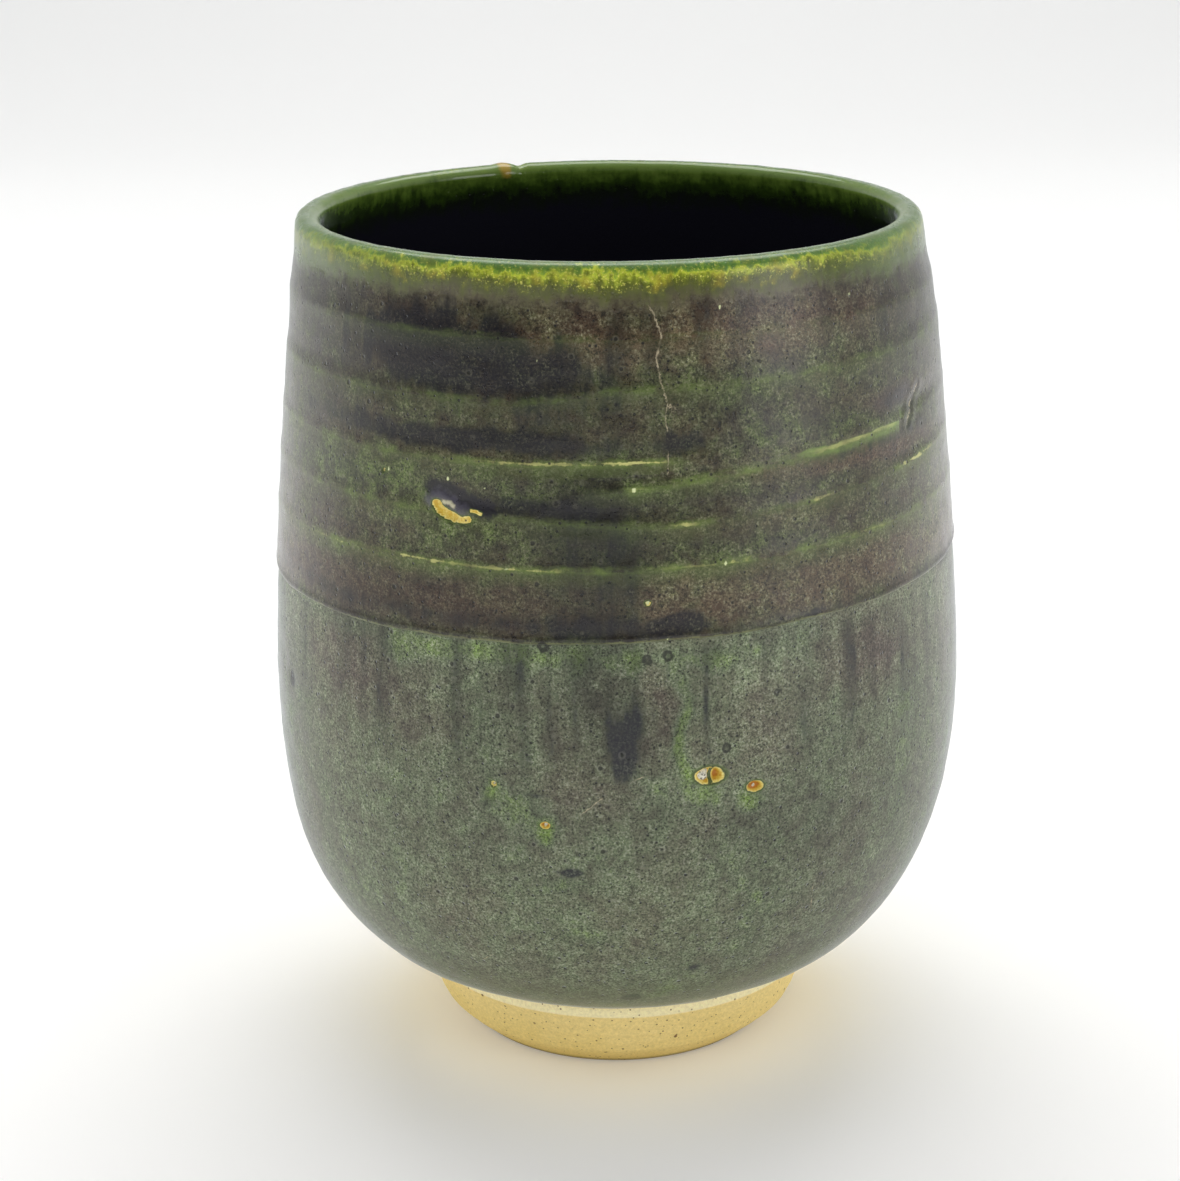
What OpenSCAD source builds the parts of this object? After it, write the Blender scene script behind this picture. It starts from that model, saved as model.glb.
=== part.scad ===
// Yunomi tea cup: a thrown stoneware body on a luted foot ring, dipped twice in glaze.
// The axis is Z, the foot stands on z = 0, and the side that faces the viewer is -Y.

/* [Body] */
// Widest diameter, over the first coat of glaze
body_d = 80; // [70:1:90]
// Height from the standing face to the top of the glazed lip
cup_h = 97.6; // [88:0.2:108]
// Height of the widest place
belly_z = 44; // [38:1:50]
// Clay wall at the widest place
wall_t = 3.2; // [2.4:0.1:4]
// Height of the clay floor inside the cup
floor_z = 12; // [11:0.5:15]
// Radius of the level part of the floor
floor_r = 14; // [8:1:18]
// Depth of a throwing ring
ring_depth = 0.12; // [0.02:0.02:0.3]
// Distance from one throwing ring to the next
ring_pitch = 6.2; // [5:0.1:8]

/* [Lip] */
// Outer diameter of the lip, over its glaze
lip_d = 70.1; // [62:0.2:74]
// Clay thickness at the lip
lip_t = 1.9; // [1.7:0.1:2.6]
// Rounding of the lip's two edges in the clay
lip_round = 0.7; // [0.4:0.05:0.8]

/* [Foot] */
// Diameter of the joint between the foot ring and the body
joint_d = 46.9; // [44:0.1:50]
// Height of that joint at its outer edge
joint_z = 9.5; // [9:0.1:10.5]
// Fall of the body's underside from the joint's edge to the axis
base_drop = 2.5; // [1.5:0.1:3.5]
// Height of the plain band at the top of the foot ring
foot_band_h = 1.2; // [0.6:0.1:2]
// Diameter of the foot ring at the bottom of its bevel
foot_d = 37.3; // [34:0.1:40]
// How far the bevel leans out from there
foot_bevel_w = 2.7; // [1.5:0.1:3]
// Height of the top of the bevel
foot_bevel_z = 2.9; // [2:0.1:4]
// Width and height of the worn edges of the standing face
foot_edge = 0.6; // [0.3:0.1:0.9]
// Width of the foot ring at the standing face, with its worn edges
foot_w = 4.15; // [3.4:0.05:6]
// How much narrower the bore's radius is where it meets the body's underside
bore_draft = 1; // [0.5:0.1:2]

/* [Glaze] */
// Thickness of the first coat
glaze_t = 0.4; // [0.3:0.05:0.6]
// Thickness of the first coat at its lower edge
glaze_edge_t = 0.15; // [0.1:0.05:0.25]
// Height of the first coat's lower edge
glaze_line_z = 11.5; // [11:0.1:13]
// Height over which the first coat thins out to that edge
glaze_thin_h = 1.6; // [1:0.1:3]
// Thickness of the second coat, over the first
dip_t = 0.2; // [0.15:0.05:0.4]
// Height of the second coat's edge, at the axis
dip_z = 59; // [54:0.5:64]
// Slope of the second coat's edge, up towards +X
dip_tilt = 1.7; // [0:0.1:3]
// Thickness of the coat over the lip
rim_glaze_t = 0.4; // [0.3:0.05:0.6]
// How far the lip's coat comes down on the outside
rim_band_out = 2.5; // [1.5:0.1:4]
// How far the lip's coat comes down on the inside
rim_band_in = 3; // [1.5:0.1:5]
// Thickness of the lining
lining_t = 0.35; // [0.25:0.05:0.6]

/* [Flaws] */
// Diameter of the largest burst in the glaze
burst_d = 3; // [2:0.1:4]
// Depth of a burst
burst_depth = 0.9; // [0.8:0.05:1.1]
// Diameter of the stone in the largest burst
stone_d = 1.3; // [0.9:0.1:1.6]
// Width of the crescent scar
scar_w = 5.7; // [4:0.1:7]
// Drop of the crescent's lower edge below its tips
scar_sag = 1.6; // [1.2:0.1:2]
// Drop of the crescent's upper edge below its tips
scar_inner_sag = 0.7; // [0.4:0.1:0.9]
// Depth of the crescent scar
scar_depth = 0.7; // [0.5:0.05:1]
// Length of the fold crack
crack_l = 5.4; // [3:0.1:7]
// Width of the fold crack
crack_w = 0.7; // [0.4:0.05:1]

/* [Hidden] */
$fn = 144;
// Every cut runs this far past what it cuts
overrun = 5;

// Outline of the wall: directions in degrees, and pulls of the curves as shares of their heights
heel_rise = 24.9;
heel_pull_share = 0.427;
belly_pull_share = 0.4485;
shoulder_pull_share = 0.207;
lip_lean = 11.4;
lip_pull_share = 0.115;
inner_heel_share = 0.43;
inner_belly_share = 0.66;
heel_steps = 20;
wall_steps = 44;
lip_steps = 6;
inner_steps = 18;

belly_r = body_d/2 - glaze_t;
lip_r = lip_d/2 - rim_glaze_t;
lip_top_z = cup_h - rim_glaze_t;
lip_z = lip_top_z - lip_round;
joint_r = joint_d/2;
base_z = joint_z - base_drop;
heel_h = belly_z - joint_z;
wall_h = lip_z - belly_z;
inner_h = belly_z - floor_z;

// The rings start at the second coat's edge and are drawn out from it up to the lip
ring_z = dip_z;

// Where the bursts are: degrees round from the viewer's side, share of a height, size as a share.
// The low ones follow the belly's height, the high ones the second coat's height up to the lip
low_burst_shares = [
    [13.8, 1.008, 1],
    [21, 0.966, 0.62],
    [-11.2, 0.884, 0.45],
    [-19.2, 0.98, 0.38]
];
high_burst_shares = [
    [-39.5, 0.427, 0.34],
    [4.8, 0.115, 0.34]
];
dip_h = lip_z - dip_z;
bursts_at = concat(
    [for (share = low_burst_shares) [share[0], share[1]*belly_z, share[2]]],
    [for (share = high_burst_shares) [share[0], dip_z + share[1]*dip_h, share[2]]]
);
scar_turn = -25.2;
scar_share = 0.344;
crack_turn = 58.2;
crack_share = 0.539;
crack_slope = 43;

function unit(v) = v/norm(v);
function bezier(p, t) =
    pow(1 - t, 3)*p[0] + 3*pow(1 - t, 2)*t*p[1] + 3*(1 - t)*t*t*p[2] + pow(t, 3)*p[3];
function heading(p, t) =
    unit(pow(1 - t, 2)*(p[1] - p[0]) + 2*(1 - t)*t*(p[2] - p[1]) + t*t*(p[3] - p[2]));

// Each place on the outline is a point and the direction out of the clay there
function outward(v) = [v.y, -v.x];
function trace(p, steps, first) =
    [for (i = [first : steps]) [bezier(p, i/steps), outward(heading(p, i/steps))]];

heel_curve = [
    [joint_r, joint_z],
    [joint_r, joint_z] + heel_pull_share*heel_h*[cos(heel_rise), sin(heel_rise)],
    [belly_r, belly_z - belly_pull_share*heel_h],
    [belly_r, belly_z]
];
wall_curve = [
    [belly_r, belly_z],
    [belly_r, belly_z + shoulder_pull_share*wall_h],
    [lip_r, lip_z] + lip_pull_share*wall_h*[sin(lip_lean), -cos(lip_lean)],
    [lip_r, lip_z]
];
inner_belly_r = belly_r - wall_t;
inner_lip_r = lip_r - lip_t;
inner_wall_curve = [
    [inner_lip_r, lip_z],
    [inner_lip_r, lip_z] + lip_pull_share*wall_h*[sin(lip_lean), -cos(lip_lean)],
    [inner_belly_r, belly_z + shoulder_pull_share*wall_h],
    [inner_belly_r, belly_z]
];
inner_heel_curve = [
    [inner_belly_r, belly_z],
    [inner_belly_r, belly_z - inner_belly_share*inner_h],
    [floor_r + inner_heel_share*inner_h, floor_z],
    [floor_r, floor_z]
];

// Throwing rings stand out from the wall above the second coat's edge and die away below it
function ring_swell(z) =
    ring_depth*cos(360*(z - ring_z)/ring_pitch)*min(1, max(0, (z - belly_z)/(ring_z - belly_z)));
function ringed(place) = [place[0] + [ring_swell(place[0].y), 0], place[1]];

function lip_arc(centre, from, to) =
    [for (i = [1 : lip_steps - 1]) let (a = from + (to - from)*i/lip_steps)
        [centre + lip_round*[cos(a), sin(a)], [cos(a), sin(a)]]];

outer_wall = concat(
    trace(heel_curve, heel_steps, 0),
    [for (place = trace(wall_curve, wall_steps, 1)) ringed(place)]
);
over_lip = concat(
    lip_arc([lip_r - lip_round, lip_z], 0, 90),
    [[[lip_r - lip_round, lip_top_z], [0, 1]], [[inner_lip_r + lip_round, lip_top_z], [0, 1]]],
    lip_arc([inner_lip_r + lip_round, lip_z], 90, 180)
);
inner_wall = concat(
    trace(inner_wall_curve, inner_steps, 0),
    trace(inner_heel_curve, inner_steps, 1)
);

// The two coats end on the same place outside, and the lining ends at the lip's coat inside
coat_wall = [for (place = outer_wall) if (place[0].y <= lip_top_z - rim_band_out) place];
coat_top_z = coat_wall[len(coat_wall) - 1][0].y;
rim_inside = [for (place = inner_wall) if (place[0].y >= lip_top_z - rim_band_in) place];
lining_top_z = rim_inside[len(rim_inside) - 1][0].y;

function points(places) = [for (place = places) place[0]];
function lifted(places, t) = [for (place = places) place[0] + t*place[1]];

// The first coat is thinnest at its lower edge
function coat_t(z) =
    glaze_edge_t + (glaze_t - glaze_edge_t)*min(1, max(0, (z - glaze_line_z)/glaze_thin_h));
function coated(places) = [for (place = places) place[0] + coat_t(place[0].y)*place[1]];
function reversed(list) = [for (i = [len(list) - 1 : -1 : 0]) list[i]];

clay_wall_table = [for (place = outer_wall) [place[0].y, place[0].x]];
function wall_r(z) = lookup(z, clay_wall_table);

// Radius of the arc that spans a width with a given drop
function arc_r(w, sag) = (w*w/4 + sag*sag)/(2*sag);

// Puts its child on the first coat's face, with the child's Z pointing out of the wall
module on_wall(turn, z, sunk = 0) {
    rotate([0, 0, turn])
        translate([0, -(wall_r(z) + glaze_t - sunk), z])
            rotate([90, 0, 0]) children();
}

module bursts() {
    for (place = bursts_at) {
        ball_r = arc_r(burst_d*place[2], burst_depth);
        on_wall(place[0], place[1], burst_depth) translate([0, 0, ball_r]) sphere(ball_r);
    }
}

module stones() {
    for (place = bursts_at) {
        on_wall(place[0], place[1], burst_depth) sphere(d = stone_d*place[2]);
    }
}

module scar() {
    outer_r = arc_r(scar_w, scar_sag);
    inner_r = arc_r(scar_w, scar_inner_sag);
    on_wall(scar_turn, dip_z + scar_share*dip_h, scar_depth) difference() {
        translate([0, outer_r - scar_sag, 0])
            cylinder(r = outer_r, h = scar_depth + overrun);
        translate([0, inner_r - scar_inner_sag, -overrun])
            cylinder(r = inner_r, h = scar_depth + 3*overrun);
    }
}

module crack() {
    on_wall(crack_turn, dip_z + crack_share*dip_h) rotate([0, 0, crack_slope]) rotate([0, 90, 0])
        cylinder(d = crack_w, h = crack_l, center = true);
}

module flaws() {
    bursts();
    scar();
    crack();
}

// Everything that lies below the second coat's edge
module below_dip() {
    translate([0, 0, dip_z]) rotate([0, -dip_tilt, 0]) translate([0, 0, -cup_h/2])
        cube([2*body_d, 2*body_d, cup_h], center = true);
}

module clay_body() {
    color("#c8ad72") difference() {
        rotate_extrude() polygon(concat(
            [[0, base_z]],
            points(outer_wall),
            points(over_lip),
            points(inner_wall),
            [[0, floor_z]]
        ));
        flaws();
        stones();
    }
}

module foot_ring() {
    bore_r = foot_d/2 - foot_w;
    bore_top_r = bore_r - bore_draft;
    color("#cbb271") rotate_extrude() polygon([
        [bore_r + foot_edge, 0],
        [foot_d/2 - foot_edge, 0],
        [foot_d/2, foot_edge],
        [foot_d/2 + foot_bevel_w, foot_bevel_z],
        [joint_r, joint_z - foot_band_h],
        [joint_r, joint_z],
        [bore_top_r, base_z + base_drop*bore_top_r/joint_r],
        [bore_r, foot_edge]
    ]);
}

module base_glaze() {
    color("#5f6452") difference() {
        rotate_extrude() polygon(concat(coated(coat_wall), reversed(points(coat_wall))));
        cylinder(d = 2*body_d, h = 2*glaze_line_z, center = true);
        flaws();
    }
}

module upper_glaze() {
    high = [for (place = coat_wall) if (place[0].y >= belly_z) place];
    color("#4b4e3c") difference() {
        rotate_extrude() polygon(concat(lifted(high, glaze_t + dip_t), reversed(lifted(high, glaze_t))));
        below_dip();
        flaws();
    }
}

module rim_glaze() {
    band = concat([for (place = outer_wall) if (place[0].y >= coat_top_z) place], over_lip, rim_inside);
    color("#8d8b4c") rotate_extrude()
        polygon(concat(lifted(band, rim_glaze_t), reversed(points(band))));
}

module inner_glaze() {
    lining = [for (place = inner_wall) if (place[0].y <= lining_top_z) place];
    color("#15161a") rotate_extrude() polygon(concat(
        [[0, floor_z + lining_t]],
        reversed(lifted(lining, lining_t)),
        points(lining),
        [[0, floor_z]]
    ));
}

module burst_stones() {
    color("#e6ddcc") stones();
}

clay_body();
foot_ring();
base_glaze();
upper_glaze();
rim_glaze();
inner_glaze();
burst_stones();
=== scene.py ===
import math

import bpy
import numpy as np
from mathutils import Matrix, Vector, noise


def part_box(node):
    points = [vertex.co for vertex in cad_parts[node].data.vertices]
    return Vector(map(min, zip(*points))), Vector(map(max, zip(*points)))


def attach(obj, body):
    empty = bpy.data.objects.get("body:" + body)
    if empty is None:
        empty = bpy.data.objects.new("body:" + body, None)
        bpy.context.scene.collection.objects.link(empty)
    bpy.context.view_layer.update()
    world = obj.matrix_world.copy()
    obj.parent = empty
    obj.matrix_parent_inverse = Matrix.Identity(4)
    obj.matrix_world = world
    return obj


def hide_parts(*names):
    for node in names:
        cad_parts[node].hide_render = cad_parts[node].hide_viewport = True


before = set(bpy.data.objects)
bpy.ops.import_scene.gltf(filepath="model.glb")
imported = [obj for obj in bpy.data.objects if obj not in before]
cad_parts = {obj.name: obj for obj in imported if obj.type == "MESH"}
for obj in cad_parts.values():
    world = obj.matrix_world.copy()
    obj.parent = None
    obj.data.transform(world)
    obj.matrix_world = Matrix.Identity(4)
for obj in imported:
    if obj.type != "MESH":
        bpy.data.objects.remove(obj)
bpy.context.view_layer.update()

print("frame loaded:", ", ".join(sorted(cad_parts)))

# Lengths below are in millimetres and turned to metres when a mesh is made.
# Places on the cup are (degrees, height): 0 degrees faces the camera, and + goes to its right.
mm = 0.001
noMark = 99.0      # the gap where a mark is nowhere near
markReach = 6.0    # the largest gap that a mesh stores
sideLap = 2000     # added to the unrolled angle on the side ridge, to tell it from the long one


# Helpers

def linearColour(hexText):
    channels = [int(hexText[i:i + 2], 16) / 255 for i in (1, 3, 5)]
    return [c / 12.92 if c <= 0.04045 else ((c + 0.055) / 1.055) ** 2.4 for c in channels] + [1.0]


def addNode(tree, kind, inputs=(), stops=(), **settings):
    # adds a node with its properties, inputs and links: inputs are a list in order or a dictionary, a node
    # given as one stands for its first live output, and stops are a ramp's (place, colour)
    node = tree.nodes.new(kind)
    for name, value in settings.items():
        setattr(node, name, value)
    for name, value in (inputs.items() if isinstance(inputs, dict) else enumerate(inputs)):
        if isinstance(value, bpy.types.Node):
            value = next(socket for socket in value.outputs if socket.enabled)
        if isinstance(value, bpy.types.NodeSocket):
            tree.links.new(value, node.inputs[name])
        else:
            node.inputs[name].default_value = linearColour(value) if str(value).startswith("#") else value
    for i, (place, colour) in enumerate(stops):
        ramp = node.color_ramp
        element = ramp.elements[i] if i < 2 else ramp.elements.new(place)
        element.position = place
        element.color = linearColour(colour)
    return node


def newMaterial(name):
    material = bpy.data.materials.new(name)
    material.use_nodes = True
    material.node_tree.nodes.clear()
    return material, material.node_tree


def smoothStep(low, high, value):
    t = np.clip((value - low) / (high - low), 0, 1)
    return t * t * (3 - 2 * t)


def gradedStops(low, high, coarse, windows=()):
    # stops from low to high, a coarse step apart but finer inside each (from, to, step) window
    stops = [low]
    while stops[-1] < high - 1e-9:
        here = stops[-1]
        step = coarse
        for start, end, fine in windows:
            if start <= here < end:
                step = min(step, fine)
            elif here < start < here + step:
                step = start - here
        stops.append(min(high, here + step))
    return np.array(stops)


def noiseField(points, size, seed, octaves=2):
    # smooth noise of about -1 to 1 on mm points, with features of the given size
    shift = Vector((seed * 7.31, seed * 3.77, seed * 5.19))
    flat = points.reshape(-1, 3) / size
    values = [noise.fractal(Vector(p) + shift, 0.8, 2.1, octaves) for p in flat.tolist()]
    return np.array(values).reshape(points.shape[:-1])


# The cup's outline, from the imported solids

firstBox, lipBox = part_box("base_glaze"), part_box("rim_glaze")
footBox, clayBox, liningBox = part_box("foot_ring"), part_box("clay_body"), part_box("inner_glaze")
cup = {
    "coat": (firstBox[1].x - clayBox[1].x) / mm,      # the first coat's thickness
    "bellyRadius": clayBox[1].x / mm,                 # of the clay
    "bellyHeight": 44.0,
    "jointRadius": footBox[1].x / mm,
    "jointHeight": footBox[1].z / mm,
    "baseHeight": clayBox[0].z / mm,
    "glazeLine": firstBox[0].z / mm,
    "lipTop": clayBox[1].z / mm,
    "lipRadius": 34.65,
    "lipThickness": 1.9,
    "lipRound": 0.7,
    "wall": 3.2,
    "floorHeight": liningBox[0].z / mm,
    "floorRadius": 14.0,
    "coatTop": lipBox[0].z / mm,                      # where the lip's coat begins
    "dipHeight": 59.0,
    "dipRise": 1.2,                                   # rise of the second dip's edge to the right
    "heelRise": 24.9, "heelPull": 0.427, "bellyPull": 0.4485, "shoulderPull": 0.207,
    "lipLean": 11.4, "lipPull": 0.115, "innerBellyPull": 0.66, "innerHeelPull": 0.43,
}
cup["lipStart"] = cup["lipTop"] - cup["lipRound"]


def bezierRun(p, steps):
    # points on a cubic, with the direction to the right of its travel
    t = np.linspace(0, 1, steps)[:, None]
    p = [np.array(q) for q in p]
    place = (1 - t) ** 3 * p[0] + 3 * (1 - t) ** 2 * t * p[1] + 3 * (1 - t) * t * t * p[2] + t ** 3 * p[3]
    way = (1 - t) ** 2 * (p[1] - p[0]) + 2 * (1 - t) * t * (p[2] - p[1]) + t * t * (p[3] - p[2])
    way /= np.linalg.norm(way, axis=1)[:, None]
    return np.hstack([place, way[:, 1:2], -way[:, 0:1]])


def direction(degrees):
    return np.array([math.cos(math.radians(degrees)), math.sin(math.radians(degrees))])


def outlineOf(c):
    # radius, height and outward normal along the clay: outside, over the lip, inside and on the floor
    heel = c["bellyHeight"] - c["jointHeight"]
    rise = c["lipStart"] - c["bellyHeight"]
    drop = c["bellyHeight"] - c["floorHeight"]
    joint = np.array([c["jointRadius"], c["jointHeight"]])
    belly = np.array([c["bellyRadius"], c["bellyHeight"]])
    lip = np.array([c["lipRadius"], c["lipStart"]])
    fromLip = c["lipPull"] * rise * direction(c["lipLean"] - 90)
    shoulder = [0, c["shoulderPull"] * rise]
    inLip = lip - [c["lipThickness"], 0]
    inBelly = belly - [c["wall"], 0]
    flat = np.array([c["floorRadius"], c["floorHeight"]])
    fromJoint = c["heelPull"] * heel * direction(c["heelRise"])
    outside = np.vstack([
        bezierRun([joint, joint + fromJoint, belly - [0, c["bellyPull"] * heel], belly], 120),
        bezierRun([belly, belly + shoulder, lip + fromLip, lip], 120)[1:],
    ])
    arcs = []
    corners = ((lip - [c["lipRound"], 0], c["lipLean"], 90),
               (inLip + [c["lipRound"], 0], 90, 180 + c["lipLean"]))
    for centre, start, end in corners:
        for degrees in np.linspace(start, end, 10):
            arcs.append(np.hstack([centre + c["lipRound"] * direction(degrees), direction(degrees)]))
    down, out = [0, c["innerBellyPull"] * drop], [c["innerHeelPull"] * drop, 0]
    inside = np.vstack([
        bezierRun([inLip, inLip + fromLip, inBelly + shoulder, inBelly], 80),
        bezierRun([inBelly, inBelly - down, flat + out, flat], 80)[1:],
    ])
    return outside, np.array(arcs), inside


outside, overLip, inside = outlineOf(cup)


def onOutside(heights):
    return np.stack([np.interp(heights, outside[:, 1], outside[:, k]) for k in (0, 1, 2, 3)], -1)


# What the potter's hands and the kiln did to the round shape

# One ridge climbs round the wall from the second dip's edge to the lip, as (degrees unrolled, height)
throwingRidge = [
    (-180, 63.0), (-70, 66.0), (-30, 66.4), (0, 66.7), (50, 67.8), (70, 68.3), (180, 69.8), (290, 71.8),
    (340, 71.8), (370, 71.2), (393, 72.3), (430, 74.0), (540, 75.6), (650, 77.1), (700, 77.4), (727, 77.8),
    (777, 78.2), (800, 79.2), (900, 81.5), (1010, 83.4), (1065, 83.7), (1080, 85.0), (1130, 85.9),
    (1260, 87.8), (1370, 89.9), (1440, 90.3), (1510, 90.5), (1620, 93.0),
]
# A second, shorter ridge that leaves the first and ends at the fold
sideRidge = [(-6, 74.4), (3, 75.0), (15, 75.9), (30, 77.0), (45, 77.8), (55, 78.2), (60, 78.6)]

# (degrees, height, width, height of the mark, depth): soft hollows are +, swellings are -
dents = [
    (-25, 72.8, 9.0, 4.5, 0.3), (58, 78.5, 7.0, 5.0, 0.2), (-66, 82.0, 30.0, 6.0, -0.12),
    (64, 72.5, 12.0, 4.0, -0.18), (62, 79.5, 10.0, 2.5, 0.2), (2, 78.0, 20.0, 3.0, 0.08),
    (120, 70.0, 24.0, 9.0, 0.2), (-130, 60.0, 26.0, 10.0, 0.2), (170, 50.0, 22.0, 8.0, -0.15),
    (-45, 47.0, 2.4, 1.6, 0.12), (-66, 47.2, 1.6, 2.0, 0.2), (38, 20.0, 8.0, 3.0, 0.08),
]

# Pits where a stone burst through the glaze: (degrees, height, width, height of the pit, depth)
pits = [
    (13.8, 44.35, 3.1, 1.9, 0.7), (21.0, 42.5, 1.9, 1.3, 0.5), (-11.2, 38.9, 1.1, 0.8, 0.4),
    (-19.2, 43.1, 0.7, 0.7, 0.3), (-39.5, 75.0, 0.5, 0.7, 0.15), (4.8, 63.3, 0.7, 0.6, 0.2),
]
# Burst bubbles that healed into dark rings: (degrees, height, width)
bubbles = [(7.8, 57.6, 1.3), (4.6, 57.3, 1.2), (-11.2, 58.5, 1.3), (32.3, 60.4, 1.2), (25, 52.4, 1.0),
           (16.5, 47.2, 1.1)]

# Lines of (degrees, height), each with its half width in mm: the scar's bare clay, the pool of glaze over it,
# the grey swirl and pale curl between them, the fold where the clay tore, and the fine lines, which are a
# crack below the lip, the fold's torn edge and scratches
scarBand = {"path": [(-29.0, 72.4), (-28.4, 71.9), (-27.2, 71.5), (-25.8, 71.25)], "half": 0.52}
scarTail = {"path": [(-25.8, 71.25), (-24.4, 71.1), (-23.3, 71.2)], "half": 0.38}
scarChip = {"path": [(-22.8, 72.15), (-21.2, 71.95)], "half": 0.22}
scarPool = {"path": [(-30.0, 74.1), (-26.8, 73.9), (-23.4, 73.0), (-20.2, 72.4)], "half": 1.0}
scarSwirl = {"path": [(-30.2, 72.8), (-28.6, 73.4), (-26.8, 72.9), (-25.2, 72.2), (-24.0, 71.9)], "half": 0.9}
scarCurl = {"path": [(-27.9, 72.75), (-26.6, 72.7), (-26.0, 72.4)], "half": 0.34}
fold = {"path": [(57.0, 77.4), (57.4, 77.9), (58.6, 78.5), (58.9, 79.3), (60.0, 79.9), (61.6, 81.0)],
        "half": 0.4, "depth": 0.02}
fineLines = [
    {"path": [(5.4, 94.4), (7.0, 92.6), (8.0, 90.4), (6.9, 88.2), (7.4, 85.9), (8.3, 83.8)], "half": 0.08},
    {"path": [(8.3, 83.8), (8.0, 82.0), (8.3, 81.0)], "half": 0.05},
    {"path": [(8.4, 78.6), (8.3, 76.6)], "half": 0.05},
    {"path": [(8.3, 83.8), (10.2, 82.8)], "half": 0.08},
    {"path": fold["path"], "half": 0.12},
    {"path": [(-5.6, 40.4), (-2.6, 42.2)], "half": 0.06},
    {"path": [(2.2, 44.2), (3.6, 44.6)], "half": 0.05},
    {"path": [(33.5, 28.6), (34.4, 25.6)], "half": 0.05},
    {"path": [(-24, 20.4), (-21.5, 21.6)], "half": 0.04},
]
# The gap between the largest stone and the clay beside it, painted black as its shade
cleft = [(14.3, 45.0), (13.9, 44.3), (14.0, 43.6)]


def turned(angle):
    return (angle + 180) % 360 - 180


def ridgeGap(around, level):
    # signed mm from the nearest ridge, + above it, and the unrolled angle there
    best, where = np.full(around.shape, noMark), np.zeros(around.shape)
    for path in (throwingRidge, sideRidge):
        x, y = np.array(path).T
        for lap in range(-1, 5):
            along = around + 360 * lap
            gap = level - np.interp(along, x, y)
            gap[(along < x[0]) | (along > x[-1])] = noMark
            closer = np.abs(gap) < np.abs(best)
            best[closer] = gap[closer]
            where[closer] = along[closer] + (sideLap if path is sideRidge else 0)
    return best, where


def radiusAt(level):
    return np.interp(level, outside[:, 1], outside[:, 0])


def pitDistance(around, level, mark):
    # 1 on the mark's rim, 0 at its centre
    u = np.radians(turned(around - mark[0])) * radiusAt(level)
    return np.hypot(u / (mark[2] / 2), (level - mark[1]) / (mark[3] / 2))


def alongSegment(around, level, start, end):
    # mm along the straight line from one (degrees, height) place to another, mm aside of it, and its length
    u = np.radians(turned(around - start[0])) * radiusAt(level)
    v = level - start[1]
    eu = math.radians(end[0] - start[0]) * float(radiusAt((start[1] + end[1]) / 2))
    ev = end[1] - start[1]
    length = math.hypot(eu, ev)
    return (u * eu + v * ev) / length, (u * ev - v * eu) / length, length


def segmentGap(along, side, length):
    return np.hypot(side, np.maximum(0, np.maximum(-along, along - length)))


def pathGap(around, level, path):
    # mm from a line of (degrees, height) places
    best = np.full(around.shape, noMark)
    for start, end in zip(path, path[1:]):
        best = np.minimum(best, segmentGap(*alongSegment(around, level, start, end)))
    return best


def fineLineFields(around, level):
    # how far across the nearest fine line a point lies, in its half widths and signed so that it blends
    # cleanly between the mesh's points, and how many mm beyond the line's ends
    nearest, across = np.full(around.shape, noMark), np.full(around.shape, noMark)
    beyond = np.full(around.shape, markReach)
    for line in fineLines:
        path = line["path"]
        for k, (start, end) in enumerate(zip(path, path[1:])):
            along, side, length = alongSegment(around, level, start, end)
            gap = segmentGap(along, side, length)
            over = np.zeros(around.shape)
            if k == 0:
                over = np.maximum(over, -along)
            if k == len(path) - 2:
                over = np.maximum(over, along - length)
            closer = gap < nearest
            nearest[closer] = gap[closer]
            across[closer] = np.clip(side / line["half"], -noMark, noMark)[closer]
            beyond[closer] = np.minimum(over, markReach)[closer]
    return across, beyond


def roundPoints(around, level):
    r = radiusAt(level)
    return np.stack([r * np.sin(np.radians(around)), -r * np.cos(np.radians(around)), level], -1)


# How far each trace stands out from the wall or sinks into it, in mm, with the sizes that shape it
wallTraces = {
    "wobble": 0.1, "wobbleSize": 26, "ripple": 0.03, "rippleSize": 5,
    "ridge": 0.065, "ridgeWidth": 0.8, "between": 0.03, "ledge": 0.02, "ledgeDrop": 1.4, "ledgeWidth": 0.7,
    "pitRim": 0.07, "bubbleRim": 0.06, "bubble": 0.12, "scar": 0.3, "swirl": 0.16, "swirlWidth": 0.5,
    "foldLip": 0.05, "foldLipGap": 0.8, "foldLipWidth": 0.45,
}


def swell(gap, width):
    return np.exp(-(gap / width) ** 2)


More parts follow.
